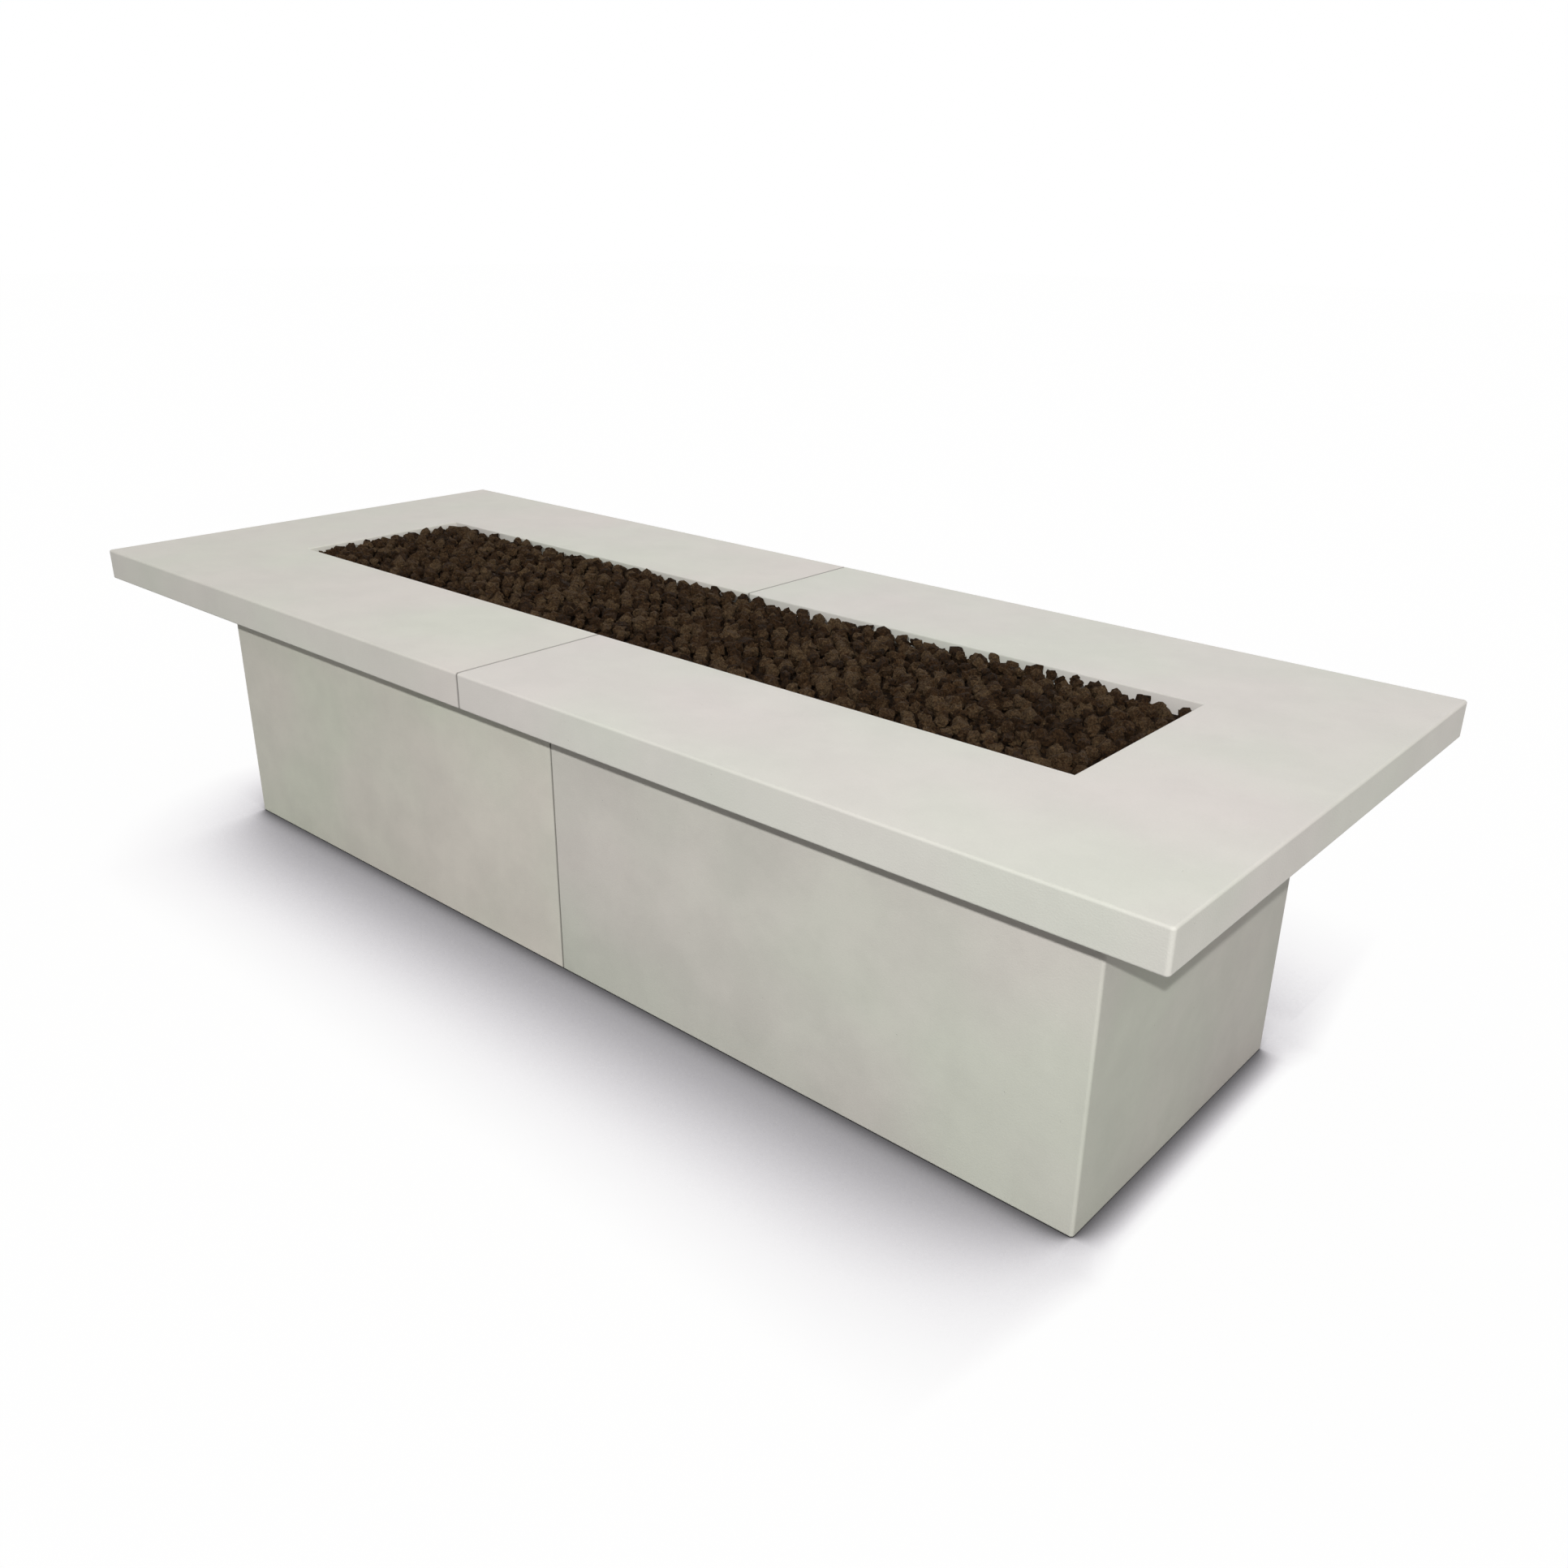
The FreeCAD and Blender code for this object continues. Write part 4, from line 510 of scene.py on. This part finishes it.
rocks = {
    "seed": 20,
    "shapes": 14,
    "tones": 5,
    "firstShake": 3,  # seed of the first shape's shake
    "shake": 0.42,
    "shakeOutward": 0.5,
    "width": (0.62, 0.95),
    "flatness": 0.72,
    "heightShare": (0.85, 1.1),
    "chips": 6,
    "chipPlace": (0.48, 0.78),  # in radii from the middle
    "creaseAngle": 16,
    "tilt": 0.45,
    "smallest": 0.0085,
    "largest": 0.0195,
    "touch": 0.62,  # radius as a share of the way to the next rock
    "touchSpread": (0.9, 1.2),
    "topLimit": cadBox[1].z - 0.0043,
    "topSink": 0.12,
    "topLift": 0.001,
    "topDepth": 0.04,  # tops are looked for down to here under the rim
    "neighbours": 0.027,
    "cornerGap": 0.001,
    "topRise": 0.0035,
    "topEdge": 1.05,
    "drops": 9000,
    "fillRadius": (0.0055, 0.0125),
    "fillDepth": 0.004,
    "fillEdge": 1.04,
    "carries": 0.72,  # square of the share of its radius on which a rock rests
    "nestle": 0.2,  # how far it sinks between those below, in half heights
    "cell": 0.004,
    "bedDepth": 0.030,
    "bareDepth": 0.02,  # level under the rim past the CAD bed's edge
}
dice = random.Random(rocks["seed"])
bedMesh = frame["nodes"]["lava_rock_bed"].data
bedSurface = BVHTree.FromPolygons([corner.co for corner in bedMesh.vertices],
                                  [face.vertices for face in bedMesh.polygons])


def startFresh():
    if bpy.context.object and bpy.context.object.mode == "EDIT":
        bpy.ops.object.mode_set(mode="OBJECT")
    bpy.ops.object.select_all(action="DESELECT")


def heapLevel(x, y):
    hit = bedSurface.ray_cast((x, y, 1), (0, 0, -1))[0]
    return hit.z if hit else rimLevel - rocks["bareDepth"]


def rockShape(number):
    startFresh()
    bpy.ops.mesh.primitive_ico_sphere_add(subdivisions=2, radius=1)
    shape = bpy.context.object
    bpy.ops.object.mode_set(mode="EDIT")
    bpy.ops.mesh.select_all(action="SELECT")
    bpy.ops.transform.vertex_random(offset=rocks["shake"], normal=rocks["shakeOutward"],
                                    seed=number + rocks["firstShake"])
    width = dice.uniform(*rocks["width"])
    height = rocks["flatness"] * dice.uniform(*rocks["heightShare"])
    bpy.ops.transform.resize(value=(1, width, height))
    for chip in range(rocks["chips"]):
        facing = Vector([dice.gauss(0, 1) for axis in range(3)]).normalized()
        bpy.ops.mesh.select_all(action="SELECT")
        cut = facing * dice.uniform(*rocks["chipPlace"])
        bpy.ops.mesh.bisect(plane_co=cut, plane_no=facing, use_fill=True, clear_outer=True)
    bpy.ops.mesh.select_all(action="SELECT")
    bpy.ops.mesh.normals_make_consistent(inside=False)
    bpy.ops.object.mode_set(mode="OBJECT")
    bpy.ops.object.shade_smooth_by_angle(angle=math.radians(rocks["creaseAngle"]))
    return shape


def tonedMeshes():
    meshes = []
    for number in range(rocks["shapes"]):
        shape = rockShape(number)
        for tone in range(rocks["tones"]):
            mesh = shape.data.copy()
            own = mesh.attributes.new("rockTone", "FLOAT", "POINT")
            level = (tone + 0.5) / rocks["tones"]
            own.data.foreach_set("value", [level] * len(mesh.vertices))
            mesh.materials.clear()
            mesh.materials.append(lava)
            meshes.append(mesh)
        bpy.data.objects.remove(shape)
    return meshes


def searchTree(points):
    tree = KDTree(len(points))
    for number, point in enumerate(points):
        tree.insert(point, number)
    tree.balance()
    return tree


def rockTops():
    # the corners of the CAD bed that stand above those round them
    lowest = rimLevel - rocks["topDepth"]
    corners = sorted({tuple(round(value, 5) for value in corner.co) for corner in bedMesh.vertices
                      if corner.co.z > lowest})
    tree = searchTree(corners)
    tops = []
    for corner in corners:
        near = [place.z for place, number, away in tree.find_range(corner, rocks["neighbours"])
                if away > rocks["cornerGap"]]  # not the corner itself
        if near and corner[2] > sum(near) / len(near) + rocks["topRise"]:
            tops.append(corner)
    return tops


def heldIn(value, half):
    return max(-1, min(1, value / half)) * half


def topRocks():
    tops = rockTops()
    tree = searchTree([(x, y, 0) for x, y, z in tops])
    laid = []
    for x, y, z in tops:
        gap = tree.find_n((x, y, 0), 2)[1][2]
        wanted = rocks["touch"] * gap * dice.uniform(*rocks["touchSpread"])
        radius = min(rocks["largest"], max(rocks["smallest"], wanted))
        x = heldIn(x, openingHalf.x - rocks["topEdge"] * radius)
        y = heldIn(y, openingHalf.y - rocks["topEdge"] * radius)
        top = min(z, rocks["topLimit"] - rocks["topSink"] * radius)
        laid.append((x, y, top - rocks["flatness"] * radius + rocks["topLift"], radius))
    return laid


def fillRocks():
    # each rock drops on a grid of levels, and stays where it doesn't stand out over the CAD bed
    step = rocks["cell"]
    across, deep = int(2 * openingHalf.x / step), int(2 * openingHalf.y / step)
    level = [[heapLevel(i * step - openingHalf.x, j * step - openingHalf.y) for j in range(deep + 1)]
             for i in range(across + 1)]
    ground = [[value - rocks["bedDepth"] for value in line] for line in level]
    laid = []
    for drop in range(rocks["drops"]):
        radius = dice.uniform(*rocks["fillRadius"])
        half = radius * rocks["flatness"]
        reach = int(radius / step) + 1
        x = dice.uniform(-1, 1) * (openingHalf.x - rocks["fillEdge"] * radius)
        y = dice.uniform(-1, 1) * (openingHalf.y - rocks["fillEdge"] * radius)
        i, j = round((x + openingHalf.x) / step), round((y + openingHalf.y) / step)
        rest = -1.0
        dome = []
        for a in range(max(0, i - reach), min(across, i + reach) + 1):
            for b in range(max(0, j - reach), min(deep, j + reach) + 1):
                alongX, alongY = a * step - openingHalf.x - x, b * step - openingHalf.y - y
                away = (alongX ** 2 + alongY ** 2) / radius ** 2
                if away < 1:
                    rise = half * math.sqrt(1 - away)
                    dome.append((a, b, rise))
                    if away < rocks["carries"]:
                        rest = max(rest, ground[a][b] + rise)
        rest -= rocks["nestle"] * half
        highest = level[min(i, across)][min(j, deep)] + rocks["fillDepth"] * dice.uniform(-1, 1)
        if rest + half > highest:
            continue
        for a, b, rise in dome:
            ground[a][b] = max(ground[a][b], rest + rise)
        laid.append((x, y, rest, radius))
    return laid


def rockHeap():
    meshes = tonedMeshes()
    laid = topRocks() + fillRocks()
    quarter = openingHalf.x / 2
    made = []
    for number, side in enumerate(("left_end", "left_middle", "right_middle", "right_end"), start=-2):
        startFresh()
        name = "lava_rocks_" + side
        first = None
        for x, y, z, radius in laid:
            if not number * quarter <= x < (number + 1) * quarter:
                continue
            rock = bpy.data.objects.new(name, dice.choice(meshes))
            turn = Matrix.Rotation(dice.uniform(0, 2 * math.pi), 4, "Z")
            nod = Matrix.Rotation(dice.uniform(-rocks["tilt"], rocks["tilt"]), 4, "X")
            tilt = nod @ Matrix.Rotation(dice.uniform(-rocks["tilt"], rocks["tilt"]), 4, "Y")
            rock.matrix_world = Matrix.Translation((x, y, z)) @ turn @ tilt @ Matrix.Scale(radius, 4)
            stage.collection.objects.link(rock)
            rock.select_set(True)
            first = first or rock
        bpy.context.view_layer.objects.active = first
        bpy.ops.object.make_single_user(object=True, obdata=True)
        bpy.ops.object.join()
        bpy.ops.object.transform_apply(location=True, rotation=True, scale=True)
        first.name = name
        made.append(first)
    print("lava rocks laid:", len(laid), "faces:", sum(len(piece.data.polygons) for piece in made))
    return made


# The fines under the rocks: one block that fills the pan over the burner, with a rough crown

fines = {
    "overTee": 0.002,
    "edgeDrop": 0.027,  # just over the flange of the pan
    "gap": 0.004,
    "border": 0.09,
    "crown": 0.010,
    "cuts": 9,
    "shake": 0.004,
    "seed": 5,
}


def lavaBed():
    startFresh()
    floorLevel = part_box("burner_tee")[1].z + fines["overTee"]
    edgeLevel = rimLevel - fines["edgeDrop"]
    size = (2 * openingHalf.x - fines["gap"], 2 * openingHalf.y - fines["gap"], edgeLevel - floorLevel)
    bpy.ops.mesh.primitive_cube_add(size=1, location=(0, 0, (edgeLevel + floorLevel) / 2), scale=size)
    bed = bpy.context.object
    bed.name = "lava_fines"
    bpy.ops.object.transform_apply(location=True, rotation=True, scale=True)
    bpy.ops.object.mode_set(mode="EDIT")
    bpy.ops.mesh.select_all(action="DESELECT")
    bpy.ops.object.mode_set(mode="OBJECT")
    for face in bed.data.polygons:
        face.select = face.normal.z > 0.9  # the top
    bpy.ops.object.mode_set(mode="EDIT")
    bpy.ops.mesh.inset(thickness=fines["border"])
    bpy.ops.transform.translate(value=(0, 0, fines["crown"]))
    bpy.ops.mesh.select_more()
    bpy.ops.mesh.subdivide(number_cuts=fines["cuts"])
    bpy.ops.transform.vertex_random(offset=fines["shake"], seed=fines["seed"])
    bpy.ops.mesh.select_all(action="SELECT")
    bpy.ops.mesh.normals_make_consistent(inside=False)
    bpy.ops.object.mode_set(mode="OBJECT")
    bed.data.materials.clear()
    bed.data.materials.append(lava)
    return bed


heap = rockHeap()
bed = lavaBed()
for piece in (bed, *heap):
    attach(piece, "table")
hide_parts("lava_rock_bed")
print("lava heap built")


# The camera, at the photograph's place and angle

view = {
    "place": (1.71600, -1.66847, 1.27688),
    "turn": (67.20439, -0.66565, 41.35249),
    "lens": 31.0106,
    "sensor": 36,
    "farthest": 60,
}

eye = bpy.data.cameras.new("camera")
eye.lens = view["lens"]
eye.sensor_width = view["sensor"]
eye.clip_end = view["farthest"]
camera = bpy.data.objects.new("camera", eye)
camera.location = view["place"]
camera.rotation_euler = [math.radians(angle) for angle in view["turn"]]
stage.collection.objects.link(camera)
stage.camera = camera


# The floor: white to the camera, with the soft shadow of what stands on it

floorLook = {
    "size": 60.0,
    "drop": 0.0005,
    "bounce": (0.26, 0.26, 0.255),
    "diffuse": 0.12,
    "glow": 1.04,
    "glowCut": 0.75,  # what the diffuse part adds by itself
    "wide": 0.43,  # reach of the soft shadow
    "wideSamples": 16,
    "wideStops": ((0.0, 0.02), (0.35, 0.10), (0.62, 0.44), (0.86, 0.885), (1.0, 1.0)),
    "contact": 0.045,  # reach of the dark line at the foot
    "contactSamples": 12,
    "contactStops": ((0.0, 0.12), (0.5, 0.36), (0.8, 0.87), (1.0, 1.0)),
    "lean": (0.25, 0.0, 0.97),
    "farEnd": 2.0,  # the shares of reach along X lie within this on both sides
    "endReach": ((-1.45, 0.55), (-1.05, 1.0), (1.02, 1.0), (1.075, 0.32), (1.10, 0.19), (1.15, 0.10)),
    "cornerBand": (0.28, 0.36),
    "cornerReach": 0.05,  # how far those shares move along X at the corners
    "backBand": (0.25, 0.45),
    "backReach": 1.35,
    "wall": 0.005,  # inside begins this far in from the base's outer faces
    "under": 0.45,  # added inside the base
    "shadeTone": (0.99, 0.962, 1.0),
    "shadePower": 4,
}
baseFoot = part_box("base_shell_right")[1]


def shadeReach(tree, where):
    spot = addNode(tree, "SeparateXYZ", {0: where})
    outX = reckon(tree, "ABSOLUTE", spot.outputs["X"])
    outY = reckon(tree, "ABSOLUTE", spot.outputs["Y"])

    # shorter past the ends of the base, longer behind it
    span = 2 * floorLook["farEnd"]
    places = [((x + floorLook["farEnd"]) / span, share) for x, share in floorLook["endReach"]]
    corner = between(tree, outY, *floorLook["cornerBand"], 0.0, floorLook["cornerReach"])
    along = reckon(tree, "SUBTRACT", spot.outputs["X"], corner)
    share = ramp(tree, reckon(tree, "MULTIPLY_ADD", along, 1 / span, 0.5), *places)
    behind = between(tree, spot.outputs["Y"], *floorLook["backBand"], 1.0, floorLook["backReach"])
    reach = reckon(tree, "MULTIPLY", reckon(tree, "MULTIPLY", share, behind), floorLook["wide"])

    # inside the base the shade reaches up to the slab
    under = reckon(tree, "MULTIPLY", reckon(tree, "LESS_THAN", outX, baseFoot.x - floorLook["wall"]),
                   reckon(tree, "LESS_THAN", outY, baseFoot.y - floorLook["wall"]))
    return reckon(tree, "MULTIPLY_ADD", under, floorLook["under"], reach)


def floorFinish():
    made, tree, where = newFinish("studioFloor")
    wide = {"Distance": shadeReach(tree, where), "Normal": Vector(floorLook["lean"]).normalized()}
    wide = addNode(tree, "AmbientOcclusion", wide, samples=floorLook["wideSamples"]).outputs["AO"]
    close = {"Distance": floorLook["contact"]}
    close = addNode(tree, "AmbientOcclusion", close, samples=floorLook["contactSamples"]).outputs["AO"]
    shadow = reckon(tree, "MULTIPLY", ramp(tree, wide, *floorLook["wideStops"]),
                    ramp(tree, close, *floorLook["contactStops"]))
    clear = reckon(tree, "POWER", shadow, floorLook["shadePower"])
    shadow = tint(tree, mixTones(tree, clear, floorLook["shadeTone"], (1, 1, 1)), shadow)

    lit = addNode(tree, "BsdfDiffuse", {"Color": tint(tree, shadow, floorLook["diffuse"])})
    strength = floorLook["glow"] - floorLook["glowCut"] * floorLook["diffuse"]
    glow = addNode(tree, "Emission", {"Color": shadow, "Strength": strength})
    seen = addNode(tree, "AddShader", {0: lit.outputs[0], 1: glow.outputs[0]})
    unseen = addNode(tree, "BsdfDiffuse", {"Color": floorLook["bounce"]})
    look = addNode(tree, "MixShader", {0: directRays(tree), 1: unseen.outputs[0], 2: seen.outputs[0]})
    addNode(tree, "OutputMaterial", {"Surface": look.outputs[0]})
    return made


startFresh()
bpy.ops.mesh.primitive_plane_add(size=floorLook["size"], location=(0, 0, -floorLook["drop"]))
floor = bpy.context.object
floor.name = "floor"
floor.data.materials.append(floorFinish())


# The light: a soft dome, one small lamp behind the camera and three broad fills

light = {
    "dome": (0.385, 0.378, 0.371),
    "lamp": {"from": (2.76, -4.10, 2.98), "strength": 725, "tone": (1.0, 1.0, 0.975), "radius": 0.035},
    "fill": {"from": (1.0, -0.10, 0.70), "strength": 0.26, "tone": (1.0, 0.975, 0.84), "angle": 60},
    "slabFill": {"from": (1.0, -0.10, 0.50), "strength": 0.66, "tone": (1.0, 0.995, 0.955), "angle": 60},
    "backFill": {"from": (-0.5, 1.0, 0.20), "strength": 1.10, "tone": (1.0, 0.99, 0.975), "angle": 60},
}

stage.world = bpy.data.worlds.new("dome")
stage.world.use_nodes = True
dome = stage.world.node_tree
dome.nodes.clear()
sky = addNode(dome, "Background", {"Color": mixTones(dome, directRays(dome), light["dome"], (1, 1, 1))})
addNode(dome, "OutputWorld", {"Surface": sky.outputs[0]})

lampSkips = bpy.data.collections.new("lampSkips")  # the floor has its own soft shadow
lampSkips.objects.link(floor)
slabsAndRocks = bpy.data.collections.new("slabsAndRocks")
for piece in (frame["nodes"]["top_slab_left"], frame["nodes"]["top_slab_right"], *heap):
    slabsAndRocks.objects.link(piece)


def hangLamp(name, reaches, kind):
    data = bpy.data.lights.new(name, kind)
    data.energy = light[name]["strength"]
    data.color = light[name]["tone"]
    lamp = bpy.data.objects.new(name, data)
    stage.collection.objects.link(lamp)
    lamp.light_linking.receiver_collection = reaches
    return lamp


lamp = hangLamp("lamp", lampSkips, "POINT")
lamp.location = light["lamp"]["from"]
lamp.data.shadow_soft_size = light["lamp"]["radius"]
for name, reaches in (("fill", lampSkips), ("slabFill", slabsAndRocks), ("backFill", lampSkips)):
    soft = hangLamp(name, reaches, "SUN")
    soft.rotation_euler = Vector(light[name]["from"]).to_track_quat("Z", "Y").to_euler()
    soft.data.angle = math.radians(light[name]["angle"])
lampSkips.collection_objects[0].light_linking.link_state = "EXCLUDE"

stage.view_settings.view_transform = "Standard"
print("camera, floor and light set")
